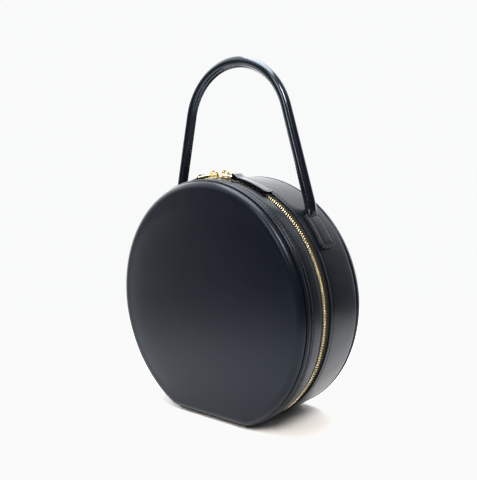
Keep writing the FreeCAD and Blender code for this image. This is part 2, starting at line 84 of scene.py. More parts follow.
# Shader expressions
class Wire:
    """One output of a node, so that shader maths reads as plain expressions."""

    def __init__(self, shader: "Shader", socket: bpy.types.NodeSocket) -> None:
        """Keep the socket and the shader that it belongs to."""
        self.shader = shader
        self.socket = socket

    def _math(self, operation: str, *terms: "Wire | float") -> "Wire":
        """Add one Math node for an operation on these terms."""
        return self.shader.node("ShaderNodeMath", {"operation": operation}, dict(enumerate(terms)))["Value"]

    def __add__(self, other: "Wire | float") -> "Wire":
        """This value plus another."""
        return self._math("ADD", self, other)

    def __radd__(self, other: float) -> "Wire":
        """A number plus this value."""
        return self._math("ADD", other, self)

    def __sub__(self, other: "Wire | float") -> "Wire":
        """This value minus another."""
        return self._math("SUBTRACT", self, other)

    def __rsub__(self, other: float) -> "Wire":
        """A number minus this value."""
        return self._math("SUBTRACT", other, self)

    def __mul__(self, other: "Wire | float") -> "Wire":
        """This value times another."""
        return self._math("MULTIPLY", self, other)

    def __rmul__(self, other: float) -> "Wire":
        """A number times this value."""
        return self._math("MULTIPLY", other, self)

    def swing(self, amount: float) -> "Wire":
        """This value from 0 to 1, as a swing of an amount about nothing."""
        return (self - 0.5) * amount

    def sine(self) -> "Wire":
        """The sine of this value."""
        return self._math("SINE", self)

    def size(self) -> "Wire":
        """This value without its sign."""
        return self._math("ABSOLUTE", self)

    def ease(self, low: float, high: float) -> "Wire":
        """A smooth step from 0 to 1 between two values."""
        settings = {"interpolation_type": "SMOOTHSTEP"}
        sockets = {"Value": self, "From Min": low, "From Max": high}
        return self.shader.node("ShaderNodeMapRange", settings, sockets)["Result"]

    def along(self, direction: Triple) -> "Wire":
        """How far this vector reaches in a direction."""
        settings = {"operation": "DOT_PRODUCT"}
        return self.shader.node("ShaderNodeVectorMath", settings, {0: self, 1: direction})["Value"]

    def turn_from(self, other: "Wire") -> "Wire":
        """The angle whose tangent is this value over another."""
        return self._math("ARCTAN2", self, other)


class Made:
    """A node that was added, whose outputs are read by name or number."""

    def __init__(self, shader: "Shader", node: bpy.types.Node) -> None:
        """Keep the node and its shader."""
        self.shader = shader
        self.node = node

    def __getitem__(self, output: str | int) -> Wire:
        """One output as a wire."""
        return Wire(self.shader, self.node.outputs[output])


class Shader:
    """Adds nodes to one node tree."""

    def __init__(self, tree: bpy.types.NodeTree) -> None:
        """Start with an empty tree."""
        self.tree = tree
        tree.nodes.clear()

    def node(self, kind: str, settings: dict[str, Any] | None = None,
             sockets: dict[str | int, Any] | None = None) -> Made:
        """Add a node.

        Args:
            kind: The node's type.
            settings: Its properties, with a ramp's stops as pairs of place and colour.
            sockets: Values or wires for its inputs, by name or number.

        Returns:
            The node, ready to be read from.
        """
        node = self.tree.nodes.new(kind)
        for name, value in (settings or {}).items():
            if name == "stops":
                self._set_stops(node.color_ramp.elements, value)
            else:
                setattr(node, name, value)
        for name, value in (sockets or {}).items():
            if isinstance(value, Wire):
                self.tree.links.new(value.socket, node.inputs[name])
            else:
                node.inputs[name].default_value = value
        return Made(self, node)

    @staticmethod
    def _set_stops(elements: Any, stops: Sequence[tuple[float, Triple]]) -> None:
        """Give a ramp its stops."""
        while len(elements) < len(stops):
            elements.new(1.0)
        for element, (place, colour) in zip(elements, stops):
            element.position = place
            element.color = (*colour, 1.0)

    def place(self) -> Wire:
        """The point on the piece, in metres, in the bag's own frame."""
        return self.node("ShaderNodeTexCoord")["Object"]

    def noise(self, size: float, detail: float = 3.0, rough: float = 0.5) -> Wire:
        """Soft noise from 0 to 1, with lumps of a size in millimetres."""
        sockets = {"Vector": self.place(), "Scale": 1 / (size * MM), "Detail": detail, "Roughness": rough}
        return self.node("ShaderNodeTexNoise", {}, sockets)[0]

    def cells(self, size: float) -> Wire:
        """Small rounded cells of a size in millimetres, low in the middle of each."""
        settings = {"feature": "SMOOTH_F1"}
        sockets = {"Vector": self.place(), "Scale": 1 / (size * MM), "Smoothness": 0.5}
        return self.node("ShaderNodeTexVoronoi", settings, sockets)["Distance"]

    def mix(self, share: Wire, first: Triple, second: Triple) -> Wire:
        """A colour between two, by a share."""
        settings = {"data_type": "RGBA"}
        return self.node("ShaderNodeMix", settings, {0: share, 6: (*first, 1.0), 7: (*second, 1.0)})[2]

    def bump(self, height: Wire, depth: float, strength: float) -> Wire:
        """A normal for a relief of a depth in millimetres."""
        sockets = {"Height": height, "Distance": depth * MM, "Strength": strength}
        return self.node("ShaderNodeBump", {}, sockets)["Normal"]

    def surface(self, **sockets: Any) -> None:
        """Finish the tree with the main shader, its inputs named with _ for a space."""
        named = {name.replace("_", " "): value for name, value in sockets.items()}
        shade = self.node("ShaderNodeBsdfPrincipled", {}, named)
        self.node("ShaderNodeOutputMaterial", {}, {"Surface": shade["BSDF"]})


def new_shader(name: str) -> tuple[bpy.types.Material, Shader]:
    """A new material and the shader that fills it.

    Args:
        name: The material's name.

    Returns:
        The material and its shader.
    """
    material = bpy.data.materials.new(name)
    material.use_nodes = True
    return material, Shader(material.node_tree)


# Finishes
@dataclass(frozen=True)
class Finish:
    """What every finish has: a name, and two colours that its pattern mixes."""

    name: str
    colour: Triple
    bloom: Triple

    def dress(self, shader: Shader) -> None:
        """Fill the finish's shader."""
        raise NotImplementedError

    def mixed(self, shader: Shader, share: Wire) -> Wire:
        """The finish's colour where its pattern has a share from 0 to 1."""
        return shader.mix(share, self.colour, self.bloom)

    def material(self) -> bpy.types.Material:
        """The finish as a new material."""
        material, shader = new_shader(self.name)
        self.dress(shader)
        return material


@dataclass(frozen=True)
class Leather(Finish):
    """Smooth, lightly polished leather. Grain and relief are in millimetres."""

    roughness: float
    grain: float
    relief: float
    polish: float
    gloss: float = 0.17

    def dress(self, shader: Shader) -> None:
        """Add fine pores, soft creases and uneven polish."""
        broad = shader.noise(34.0, detail=4.0, rough=0.6)
        pores = shader.cells(self.grain)
        crease = shader.noise(4.5, detail=5.0, rough=0.62)
        height = pores * 0.55 + crease * 0.9
        shader.surface(
            Base_Color=self.mixed(shader, broad),
            Roughness=self.roughness + broad.swing(0.06) + crease.swing(0.05),
            Specular_IOR_Level=self.gloss,
            Specular_Tint=(0.64, 0.80, 1.0, 1.0),
            Coat_Weight=self.polish,
            Coat_Roughness=0.22,
            Normal=shader.bump(height, self.relief, strength=0.55),
        )


@dataclass(frozen=True)
class EdgePaint(Finish):
    """The paint on a cut leather edge."""

    roughness: float
    gloss: float = 0.5

    def dress(self, shader: Shader) -> None:
        """Add a few brush marks to a smooth coat."""
        marks = shader.noise(1.6, detail=4.0, rough=0.6)
        shader.surface(
            Base_Color=self.mixed(shader, marks),
            Roughness=self.roughness + marks.swing(0.2),
            Specular_IOR_Level=self.gloss,
            Specular_Tint=(0.78, 0.88, 1.0, 1.0),
            Normal=shader.bump(marks, depth=0.04, strength=0.5),
        )


class Lie(Enum):
    """How a cloth lies: flat towards the front, flat on the base, or bent round the drum."""

    UPRIGHT = "upright"
    LEVEL = "level"
    BENT = "bent"


@dataclass(frozen=True)
class Cloth(Finish):
    """Plain woven cloth. The thread's pitch is in millimetres."""

    pitch: float
    lie: Lie
    roughness: float = 0.75
    sheen: float = 0.2

    def dress(self, shader: Shader) -> None:
        """Cross the threads at right angles."""
        axes = shader.node("ShaderNodeSeparateXYZ", {}, {0: shader.place()})
        if self.lie is Lie.BENT:
            turn = axes["X"].turn_from(axes["Z"] - DRUM.centre * MM)
            along, across = turn * (DRUM.radius * MM), axes["Y"]
        elif self.lie is Lie.UPRIGHT:
            along, across = axes["X"], axes["Z"]
        else:
            along, across = axes["X"], axes["Y"]
        wave = math.pi / (self.pitch * MM)
        weave = ((along * wave).sine() * (across * wave).sine()).size()
        fuzz = shader.noise(self.pitch * 3, detail=4.0, rough=0.6)
        shader.surface(
            Base_Color=self.mixed(shader, weave * 0.7 + fuzz * 0.3),
            Roughness=self.roughness + fuzz.swing(0.15),
            Specular_IOR_Level=0.3,
            Sheen_Weight=self.sheen,
            Normal=shader.bump(weave + fuzz * 0.4, depth=self.pitch * 0.25, strength=0.8),
        )


@dataclass(frozen=True)
class Plating(Finish):
    """Polished gold-coloured plating."""

    roughness: float

    def dress(self, shader: Shader) -> None:
        """Add soft smudges and fine rub marks to metal."""
        smudge = shader.noise(3.0, detail=5.0, rough=0.65)
        rub = shader.noise(0.35, detail=3.0, rough=0.7)
        shader.surface(
            Base_Color=self.mixed(shader, smudge),
            Metallic=1.0,
            Roughness=self.roughness + smudge.swing(0.16),
            Normal=shader.bump(rub, depth=0.01, strength=0.4),
        )


@dataclass(frozen=True)
class Thread(Finish):
    """Waxed sewing thread."""

    def dress(self, shader: Shader) -> None:
        """Add fine fibres."""
        fibre = shader.noise(0.22, detail=3.0, rough=0.6)
        shader.surface(
            Base_Color=self.mixed(shader, fibre),
            Roughness=0.66 + fibre.swing(0.2),
            Specular_IOR_Level=0.25,
            Normal=shader.bump(fibre, depth=0.06, strength=0.6),
        )


@dataclass(frozen=True)
class Board(Finish):
    """Pressed fibre board."""

    def dress(self, shader: Shader) -> None:
        """Add short mixed fibres."""
        fibres = shader.noise(1.4, detail=6.0, rough=0.7)
        shader.surface(
            Base_Color=self.mixed(shader, fibres),
            Roughness=0.86 + fibres.swing(0.1),
            Normal=shader.bump(fibres, depth=0.08, strength=0.6),
        )


@dataclass(frozen=True)
class Finishes:
    """Every finish on the bag, each made once."""

    face: bpy.types.Material
    side: bpy.types.Material
    strap: bpy.types.Material
    edge: bpy.types.Material
    # The pull's edge paint: matte, and darkened partly as painted shade for the gap beside the pull.
    dull_edge: bpy.types.Material
    thread: bpy.types.Material
    tape: bpy.types.Material
    upright_lining: bpy.types.Material
    level_lining: bpy.types.Material
    bent_lining: bpy.types.Material
    gold: bpy.types.Material
    board: bpy.types.Material

    @classmethod
    def make(cls) -> "Finishes":
        """Mix all the finishes."""
        ink, sheen = (0.0016, 0.0024, 0.0045), (0.0024, 0.0034, 0.0058)
        soot, slate = (0.002, 0.002, 0.003), (0.005, 0.005, 0.006)
        # The next two colours are the pull's edge paint, darker than the tab's; the darkness is partly
        # painted shade for the gap along the pull's edges.
        tar, ash = (0.001, 0.001, 0.002), (0.003, 0.003, 0.004)
        black, smoke = (0.002, 0.002, 0.002), (0.004, 0.004, 0.005)
        dark, dusk = (0.010, 0.010, 0.013), (0.026, 0.026, 0.030)
        bright, brass = (0.96, 0.83, 0.52), (0.90, 0.74, 0.42)
        bark, straw = (0.13, 0.10, 0.07), (0.22, 0.17, 0.12)
        kinds = {
            "face": Leather("face_leather", ink, sheen, roughness=0.29, grain=0.8, relief=0.02, polish=0.05),
            "side": Leather("side_leather", ink, sheen, roughness=0.30, grain=0.8, relief=0.025, polish=0.05),
            "strap": Leather("strap_leather", ink, sheen, roughness=0.17, grain=0.7, relief=0.002, polish=0.1,
                             gloss=0.5),
            "edge": EdgePaint("edge_paint", soot, slate, roughness=0.42),
            # Matte, darker paint on the pull's edges, partly painted shade for the gap between the pull and
            # the strip.
            "dull_edge": EdgePaint("dull_edge_paint", tar, ash, roughness=0.75, gloss=0.04),
            "thread": Thread("sewing_thread", soot, slate),
            "tape": Cloth("zip_tape", black, smoke, pitch=0.55, lie=Lie.BENT, roughness=0.8, sheen=0.0),
            "gold": Plating("gold_plating", bright, brass, roughness=0.24),
            "board": Board("fibre_board", bark, straw),
        }
        for lie in Lie:
            kinds[f"{lie.value}_lining"] = Cloth(f"lining_{lie.value}", dark, dusk, pitch=0.5, lie=lie)
        return cls(**{name: finish.material() for name, finish in kinds.items()})


# The drum that every piece is placed on, in millimetres
@dataclass(frozen=True)
class Drum:
    """The round body of the bag. Angles run from the top, to the right."""

    radius: float = 112.5
    centre: float = 104.2
    seam: float = 37.0
    zip_place: float = -13.0
    zip_window: float = 13.0
    piping: float = 3.6
    seam_gap: float = 0.2

    @property
    def corner_angle(self) -> float:
        """The angle from the top to a base corner."""
        return math.pi - math.acos(self.centre / self.radius)

    def point(self, angle: Any, level: Any, across: Any) -> np.ndarray:
        """Points on or above the side strip.

        Args:
            angle: Angles from the top, in radians.
            level: Heights above the side strip's surface.
            across: Places from the middle towards the back.

        Returns:
            An array of points, with the shape of the arguments together.
        """
        angle, level, across = np.broadcast_arrays(angle, level, across)
        reach = self.radius + level
        return np.stack((reach * np.sin(angle), across, self.centre + reach * np.cos(angle)), axis=-1)

    @staticmethod
    def outward(angle: np.ndarray) -> np.ndarray:
        """The directions straight out from the axis at angles from the top."""
        return np.stack((np.sin(angle), np.zeros_like(angle), np.cos(angle)), axis=-1)


DRUM = Drum()


@dataclass(frozen=True)
class FlatCircle:
    """A circle round the drum's axis, with a flat at a height above the floor and two rounded corners."""

    radius: float
    floor: float
    corner: float
    least_corner: float = 1.0

    def inset(self, by: float) -> "FlatCircle":
        """The outline moved inwards."""
        return FlatCircle(self.radius - by, self.floor + by, max(self.corner - by, self.least_corner))

    def reach(self, angle: np.ndarray) -> np.ndarray:
        """Distances from the axis to the outline at angles from the top."""
        drop = DRUM.centre - self.floor
        low = self.corner - drop
        out = math.sqrt((self.radius - self.corner) ** 2 - low ** 2)
        turn = np.abs((angle + math.pi) % (2 * math.pi) - math.pi)
        along = out * np.sin(turn) + low * np.cos(turn)
        inside = np.maximum(along ** 2 - out ** 2 - low ** 2 + self.corner ** 2, 0.0)
        rounded = along + np.sqrt(inside)
        flat = drop / np.maximum(-np.cos(turn), TINY)
        reach = np.where(turn > math.atan2(out, low), rounded, self.radius)
        return np.where(turn > math.atan2(out, -drop), flat, reach)

    def points(self, angle: np.ndarray, depth: Any, share: Any = 1.0) -> np.ndarray:
        """Points on the outline, or at a share of the way to it, at a place from the middle to the back."""
        return DRUM.point(angle, share * self.reach(angle) - DRUM.radius, depth)


# Mesh building
class Skin:
    """Points, in millimetres, and faces that become one piece."""

    def __init__(self) -> None:
        """Start with nothing."""
        self.points: list[np.ndarray] = []
        self.faces: list[tuple[int, ...]] = []
        self.paints: list[int] = []
        self.count = 0

    def add_points(self, points: np.ndarray) -> np.ndarray:
        """Add points and give back their numbers, in the same arrangement."""
        flat = np.asarray(points, float).reshape(-1, 3)
        numbers = np.arange(self.count, self.count + len(flat)).reshape(points.shape[:-1])
        self.points.append(flat)
        self.count += len(flat)
        return numbers

    def add_faces(self, faces: np.ndarray, paint: int = 0) -> None:
        """Add faces, all with one number of corners."""
        self.faces += [tuple(face) for face in np.asarray(faces).tolist()]
        self.paints += [paint] * len(faces)

    def patch(self, points: np.ndarray) -> np.ndarray:
        """Add an open grid of quads and give back its numbers."""
        n = self.add_points(points)
        self.add_faces(np.stack((n[:-1, :-1], n[1:, :-1], n[1:, 1:], n[:-1, 1:]), axis=-1).reshape(-1, 4))
        return n

    def band(self, first: np.ndarray, second: np.ndarray, paint: int = 0) -> None:
        """Join two closed rings of point numbers by quads."""
        quads = np.stack((first, second, np.roll(second, -1), np.roll(first, -1)), axis=-1)
        self.add_faces(quads, paint)

    def loft(self, sections: np.ndarray, closed: bool = False, paint: int = 0) -> np.ndarray:
        """Join sections, each a closed loop of points.

        Args:
            sections: The loops, in order.
            closed: Whether the last section joins the first, or both ends are capped.
            paint: Which of the piece's finishes it has.

        Returns:
            The points' numbers.
        """
        n = self.add_points(sections)
        pairs = list(zip(n, n[1:])) + ([(n[-1], n[0])] if closed else [])
        for first, second in pairs:
            self.band(first, second, paint)
        if not closed:
            self.add_faces(n[:1, ::-1], paint)
            self.add_faces(n[-1:], paint)
        return n

    def copies(self, shape: np.ndarray, places: np.ndarray, axes: np.ndarray) -> None:
        """Loft one small shape many times.

        Args:
            shape: Its sections, in its own three directions.
            places: Where each copy goes.
            axes: The three directions of each copy.
        """
        for place, frame_axes in zip(places, axes):
            self.loft(shape @ frame_axes + place)

    def build(self, name: str, *finishes: bpy.types.Material, crisp: float = 0.0) -> bpy.types.Object:
        """Make the piece.

        Args:
            name: Its name.
            finishes: Its materials, in the order that its faces number them.
            crisp: The angle, in degrees, above which an edge stays sharp, or 0 for none.

        Returns:
            The object, in metres.
        """
        mesh = bpy.data.meshes.new(name)
        mesh.from_pydata((np.concatenate(self.points) * MM).tolist(), [], self.faces)
        for finish in finishes:
            mesh.materials.append(finish)
        mesh.polygons.foreach_set("material_index", self.paints)
        mesh.polygons.foreach_set("use_smooth", [True] * len(self.faces))
        shaped = bmesh.new()
        shaped.from_mesh(mesh)
        bmesh.ops.recalc_face_normals(shaped, faces=shaped.faces)
        shaped.to_mesh(mesh)
        shaped.free()
        if crisp:
            mesh.set_sharp_from_angle(angle=math.radians(crisp))
        piece = bpy.data.objects.new(name, mesh)
        bpy.context.scene.collection.objects.link(piece)
        log.info("%s: %d points, %d faces", name, self.count, len(self.faces))
        return piece


def soften(loop: Sequence[tuple[float, float]], passes: int = 2) -> np.ndarray:
    """Round a closed loop by cutting its corners.

    Args:
        loop: The loop's corners.
        passes: How often the corners are cut.

    Returns:
        The rounder loop.
    """
    points = np.array(loop, float)
    for _ in range(passes):
        following = np.roll(points, -1, axis=0)
        cut = np.stack((0.75 * points + 0.25 * following, 0.25 * points + 0.75 * following), axis=1)
        points = cut.reshape(-1, 2)
    return points


def unit(vectors: np.ndarray) -> np.ndarray:
    """The vectors at length one."""
    return vectors / np.maximum(np.linalg.norm(vectors, axis=-1, keepdims=True), TINY)


def tube_sections(path: np.ndarray, radius: float, sides: int) -> np.ndarray:
    """Round sections along a closed path that lies in an upright plane.

    Args:
        path: Points along the path.
        radius: The tube's radius.
        sides: Points round each section.

    Returns:
        The sections.
    """
    along = unit(np.roll(path, -1, axis=0) - np.roll(path, 1, axis=0))
    back = np.array((0.0, 1.0, 0.0))
    out = unit(np.cross(along, back))
    turn = np.linspace(0, 2 * math.pi, sides, endpoint=False)
    ring = np.cos(turn)[None, :, None] * out[:, None] + np.sin(turn)[None, :, None] * back
    return path[:, None] + radius * ring


def smooth(share: Any) -> Any:
    """A share from 0 to 1, with a soft start and end."""
    return share * share * (3 - 2 * share)


# Each ripple of the leather: how many go round, where it starts, its skew across and its share
RIPPLES = ((17, 1.3, 0.0, 1.0), (29, 0.4, 0.15, 0.7), (47, 2.1, -0.2, 0.6))


def ripple(angle: np.ndarray, across: np.ndarray, height: float) -> np.ndarray:
    """A slow unevenness of sewn leather round the drum."""
    wave = sum(share * np.sin(turns * angle + start + skew * across) for turns, start, skew, share in RIPPLES)
    return height * wave / sum(share for *_, share in RIPPLES)


@dataclass(frozen=True)
class Stitching:
    """One kind of stitch, in millimetres."""

    pitch: float = 3.1
    length: float = 2.0
    thickness: float = 0.75
    sink: float = 0.06
    slant: float = 0.1

    def shape(self) -> np.ndarray:
        """One stitch along its first direction, its ends dipping into the leather."""
        along = np.array((-0.5, -0.4, 0.0, 0.4, 0.5)) * self.length
        girth = np.array((0.35, 0.85, 1.0, 0.85, 0.35)) * self.thickness / 2
        dip = np.array((-0.6, -0.12, 0.0, -0.12, -0.6)) * self.thickness
        turn = np.linspace(0, 2 * math.pi, 6, endpoint=False)
        rows = [np.stack((np.full(6, a), g * np.cos(turn), d + g * np.sin(turn)), axis=-1)
                for a, g, d in zip(along, girth, dip)]
        return np.array(rows)

    def sew(self, skin: Skin, path: np.ndarray, normals: np.ndarray) -> None:
        """Sew along a path on a surface.

        Args:
            skin: What the stitches are added to.
            path: Points along the seam.
            normals: The surface's normal at each of them.
        """
        steps = np.linalg.norm(np.diff(path, axis=0), axis=1)
        run = np.concatenate(([0.0], np.cumsum(steps)))
        count = int(run[-1] / self.pitch)
        middles = (np.arange(count) + 0.5) * run[-1] / max(count, 1)

        def sample(values: np.ndarray, at: np.ndarray) -> np.ndarray:
            """Values read along the seam."""
            return np.stack([np.interp(at, run, values[:, i]) for i in range(3)], axis=-1)

        place, up = sample(path, middles), unit(sample(normals, middles))
        ahead = sample(path, middles + self.length / 3) - sample(path, middles - self.length / 3)
        ahead = unit(ahead - np.sum(ahead * up, axis=-1, keepdims=True) * up)
        sideways = np.cross(up, ahead)
        slanted = unit(ahead + self.slant * sideways)
        axes = np.stack((slanted, np.cross(up, slanted), up), axis=1)
        skin.copies(self.shape(), place - self.sink * up, axes)


def follow_lid(piece: bpy.types.Object) -> None:
    """Bake a front piece's place into its points; it is not hung on a body."""
    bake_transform(piece)


def carry(piece: bpy.types.Object, row: Row) -> None:
    """Hang a rear strip on the shell, and bake a front one in place."""
    if row is Row.FRONT:
        follow_lid(piece)
    else:
        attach(piece, "shell")


# The padded faces
@dataclass
class Face:
    """One padded leather face, its piping cord and its lining. Sizes are in millimetres."""

    row: Row
    finishes: Finishes
    outline: FlatCircle = field(default_factory=lambda: FlatCircle(110.9, 2.8, 14.0))
    lining_outline: FlatCircle = field(default_factory=lambda: FlatCircle(108.7, 5.0, 14.0))
    bulge: float = 6.5
    edge_round: float = 6.4
    edge_drop: float = 5.3
    flat_inset: float = 9.0
    roll_steps: int = 9
    tuck: Pairs = ((0.3, 0.55), (1.0, 0.05), (2.6, -0.4))
    swell: float = 0.9
    pressure: float = 4.0
    cloth_mass: float = 0.15
    settle_steps: int = 20
    held_room: float = 2.0
    cells: int = 44
    lining_depth: tuple[float, float] = (34.5, 35.3)
    lining_turn: float = 0.5
    lining_round: float = 0.1
    cord_radius: float = 1.8
    cord_corner: float = 6.0
    cord_steps: int = 480
    cord_sides: int = 12

    def depth(self, out: Any) -> Any:
        """A place from the middle to the back, for a distance out from the seam."""
        return self.row.value * (DRUM.seam + out)

    def disc(self, skin: Skin, outline: FlatCircle, place: float) -> tuple[np.ndarray, np.ndarray]:
        """Fill an outline with an even grid.

        Args:
            skin: What it is added to.
            outline: The outline that its rim lies on.
            place: Where it lies, from the middle to the back.

        Returns:
            The numbers of its rim's points, and their angles from the top.
        """
        step = np.linspace(-1, 1, self.cells + 1)
        u, v = np.meshgrid(step, step)
        x, z = u * np.sqrt(1 - v ** 2 / 2), v * np.sqrt(1 - u ** 2 / 2)
        angle = np.arctan2(x, z)
        n = skin.patch(outline.points(angle, place, np.hypot(x, z)))

        def rim(grid: np.ndarray) -> np.ndarray:
            """The grid's outermost values, once round."""
            return np.concatenate((grid[0, :-1], grid[:-1, -1], grid[-1, :0:-1], grid[:0:-1, 0]))

        return rim(n), rim(angle)

    def rings(self) -> list[tuple[float, float]]:
        """The rolled edge as insets from the outline and distances out from the seam."""
        turns = np.linspace(math.pi / 2, 0, self.roll_steps)
        rolled = [(self.edge_round * (1 - math.cos(t)), self.bulge - self.edge_drop * (1 - math.sin(t)))
                  for t in turns]
        return [*rolled, *self.tuck]

    def build_pad(self) -> bpy.types.Object:
        """The leather over its padding, with a rolled edge."""
        skin = Skin()
        rim, angle = self.disc(skin, self.outline.inset(self.flat_inset), self.depth(self.bulge))
        inside = skin.count - len(rim)
        for inset, out in self.rings():
            ring = skin.add_points(self.outline.inset(inset).points(angle, self.depth(out)))
            skin.band(rim, ring)
            rim = ring
        pad = skin.build(f"{self.row.label}_face", self.finishes.face)
        self.swell_out(pad, inside)
        smooth = pad.modifiers.new("round", "SUBSURF")
        smooth.levels = smooth.render_levels = 1
        return pad

    def swell_out(self, pad: bpy.types.Object, inside: int) -> None:
        """Let the padding press the leather out, with its rolled edge held, and keep the result.

        Args:
            pad: The leather face.
            inside: How many of its first points are free to move.
        """
        rest = np.array([v.co for v in pad.data.vertices])
        middle = np.array((0.0, DRUM.centre * MM))
        away = np.hypot(*(rest[:, (0, 2)] - middle).T)
        held = pad.vertex_groups.new(name="held")
        free_radius = (self.outline.radius - self.flat_inset - self.held_room) * MM
        held.add([i for i in range(len(rest)) if i >= inside or away[i] > free_radius], 1.0, "REPLACE")
        cloth = pad.modifiers.new("swell", "CLOTH")
        cloth.settings.vertex_group_mass = held.name
        cloth.settings.use_pressure = True
        cloth.settings.uniform_pressure_force = self.pressure
        cloth.settings.effector_weights.gravity = 0.0
        cloth.settings.mass = self.cloth_mass
        cloth.collision_settings.use_collision = False
        scene = bpy.context.scene
        for step in range(1, self.settle_steps + 1):
            scene.frame_set(step)
        swollen = pad.evaluated_get(bpy.context.evaluated_depsgraph_get()).data
        moved = np.array([v.co for v in swollen.vertices]) - rest
        scene.frame_set(1)
        pad.modifiers.remove(cloth)
        pad.vertex_groups.remove(held)
        most = self.swell * MM
        length = np.linalg.norm(moved, axis=1, keepdims=True)
        log.info("%s swells by up to %.2f mm before its limit", pad.name, length.max() / MM)
        share = most * np.tanh(length / most) / np.maximum(length, TINY)
        kept = rest + moved * np.where(length > TINY, share, 0)
        pad.data.vertices.foreach_set("co", kept.ravel())

    def build_cord(self) -> bpy.types.Object:
        """The piping cord all round the face and along the base."""
        inset = self.cord_radius
        route = FlatCircle(DRUM.radius - inset, inset, self.cord_corner)
        angle = np.linspace(-math.pi, math.pi, self.cord_steps, endpoint=False)
        path = route.points(angle, self.row.value * (DRUM.seam - inset))
        skin = Skin()
        skin.loft(tube_sections(path, self.cord_radius, self.cord_sides), closed=True)
        return skin.build(f"{self.row.label}_piping_cord", self.finishes.side)

    def build_lining(self) -> bpy.types.Object:
        """The cloth inside the face, with its edge turned over."""
        skin = Skin()
        near, far = self.lining_depth
        middle, small = (near + far) / 2, self.lining_round
        flat = self.lining_outline.inset(self.lining_turn)
        rim, angle = self.disc(skin, flat, self.row.value * near)
        for inset, place in ((small, near + small), (0.0, middle), (small, far - small)):
            ring = skin.add_points(self.lining_outline.inset(inset).points(angle, self.row.value * place))
            skin.band(rim, ring)
            rim = ring
        back, _ = self.disc(skin, flat, self.row.value * far)
        skin.band(rim, back)
        return skin.build(f"{self.row.label}_face_lining", self.finishes.upright_lining)

    def build(self) -> None:
        """Make the face's pieces and hang them on their bodies, the front cord only baked in place."""
        name = self.row.label
        body = "front_lid" if self.row is Row.FRONT else "shell"
        pad, cord, lining = self.build_pad(), self.build_cord(), self.build_lining()
        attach(pad, body)
        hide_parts(f"{name}_panel", f"{name}_padding")
        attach(lining, body)
        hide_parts(f"{name}_lining")
        if self.row is Row.FRONT:
            follow_lid(cord)
            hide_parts("front_piping", "front_base_piping")
        else:
            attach(cord, "shell")
            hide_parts("rear_piping")


# The side strips, their lining and the base
@dataclass
class SideStrip:
    """One leather strip bent round the drum, with its stitching and lining. Sizes are in millimetres."""

    row: Row
    finishes: Finishes
    thickness: float = 1.6
    tuck: Pairs = ((0.0, -1.35), (0.5, -0.55), (1.5, -0.02))
    dent: Pairs = ((-0.9, 0.02), (0.0, -0.3), (0.9, 0.02))
    fold: Pairs = ((1.3, 0.08), (0.15, -0.05), (0.0, -0.8))
    crown: float = 0.12
    steps: int = 210
    wave: float = 0.09
    stitch_level: float = 0.02
    stitch_room: float = 0.02
    cord_stitch: float = 2.8
    edge_stitch: float = 3.0
    lining_levels: tuple[float, float] = (-3.2, -2.4)
    slider_room: float = 5.5

    @property
    def seam_edge(self) -> float:
        """Where the strip meets its piping."""
        return self.row.value * (DRUM.seam - DRUM.piping - DRUM.seam_gap)

    @property
    def zip_edge(self) -> float:
        """Where the strip ends beside the zip."""
        return DRUM.zip_place + self.row.value * DRUM.zip_window / 2

    @property
    def end(self) -> float:
        """The angle at which the strip ends at a base corner."""
        return DRUM.corner_angle - DRUM.seam_gap / DRUM.radius

    @property
    def stitch_line(self) -> float:
        """Where the stitches run: beside the piping in front, beside the zip behind."""
        if self.row is Row.FRONT:
            return self.seam_edge - self.cord_stitch * self.row.value
        return self.zip_edge + self.edge_stitch * self.row.value

    def bend(self, skin: Skin, profile: np.ndarray, wave: float) -> None:
        """Bend a closed profile of places across and levels round the drum."""
        angle = np.linspace(-self.end, self.end, self.steps)[:, None]
        across, level = profile[:, 0], profile[:, 1]
        skin.loft(DRUM.point(angle, level + ripple(angle, across, wave), across))

    def profile(self) -> np.ndarray:
        """The strip's section: tucked down at the piping, dented by its stitches, folded at the zip."""
        out = self.row.value
        seam, edge, line = self.seam_edge, self.zip_edge, self.stitch_line
        middle, deep = (seam + edge) / 2, self.thickness
        outer = [(seam - run * out, level) for run, level in self.tuck]
        dent = [(line - run * out, level) for run, level in self.dent]
        fold = [(edge + run * out, level) for run, level in self.fold]
        inside = [(middle, self.crown)]
        under = [(edge + self.fold[1][0] * out, -deep), (middle, -deep), (outer[-1][0], -deep), (seam, -deep)]
        top = [*outer, *dent, *inside] if self.row is Row.FRONT else [*outer, *inside, *dent]
        return soften([*top, *fold, *under])

    def stitches(self) -> bpy.types.Object:
        """The row of stitches along the strip."""
        line, end = self.stitch_line, self.end - self.stitch_room
        angle = np.linspace(-end, end, 720)
        path = DRUM.point(angle, self.stitch_level + ripple(angle, np.array(line), self.wave), line)
        skin = Skin()
        Stitching().sew(skin, path, DRUM.outward(angle))
        return skin.build(f"{self.row.label}_strip_stitches", self.finishes.thread)

    def build(self) -> None:
        """Make the strip, its stitches and its lining."""
        name, inward = self.row.label, self.row.value
        skin = Skin()
        self.bend(skin, self.profile(), self.wave)
        strip = skin.build(f"{name}_side_strip", self.finishes.side)
        carry(strip, self.row)
        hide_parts(f"{name}_gusset")
        carry(self.stitches(), self.row)

        skin = Skin()
        low, high = self.lining_levels
        near, far = self.seam_edge, DRUM.zip_place + inward * self.slider_room
        self.bend(skin, soften([(near, low), (near, high), (far, high), (far, low)]), 0.0)
        lining = skin.build(f"{name}_strip_lining", self.finishes.bent_lining)
        carry(lining, self.row)
        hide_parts(f"{name}_gusset_lining")


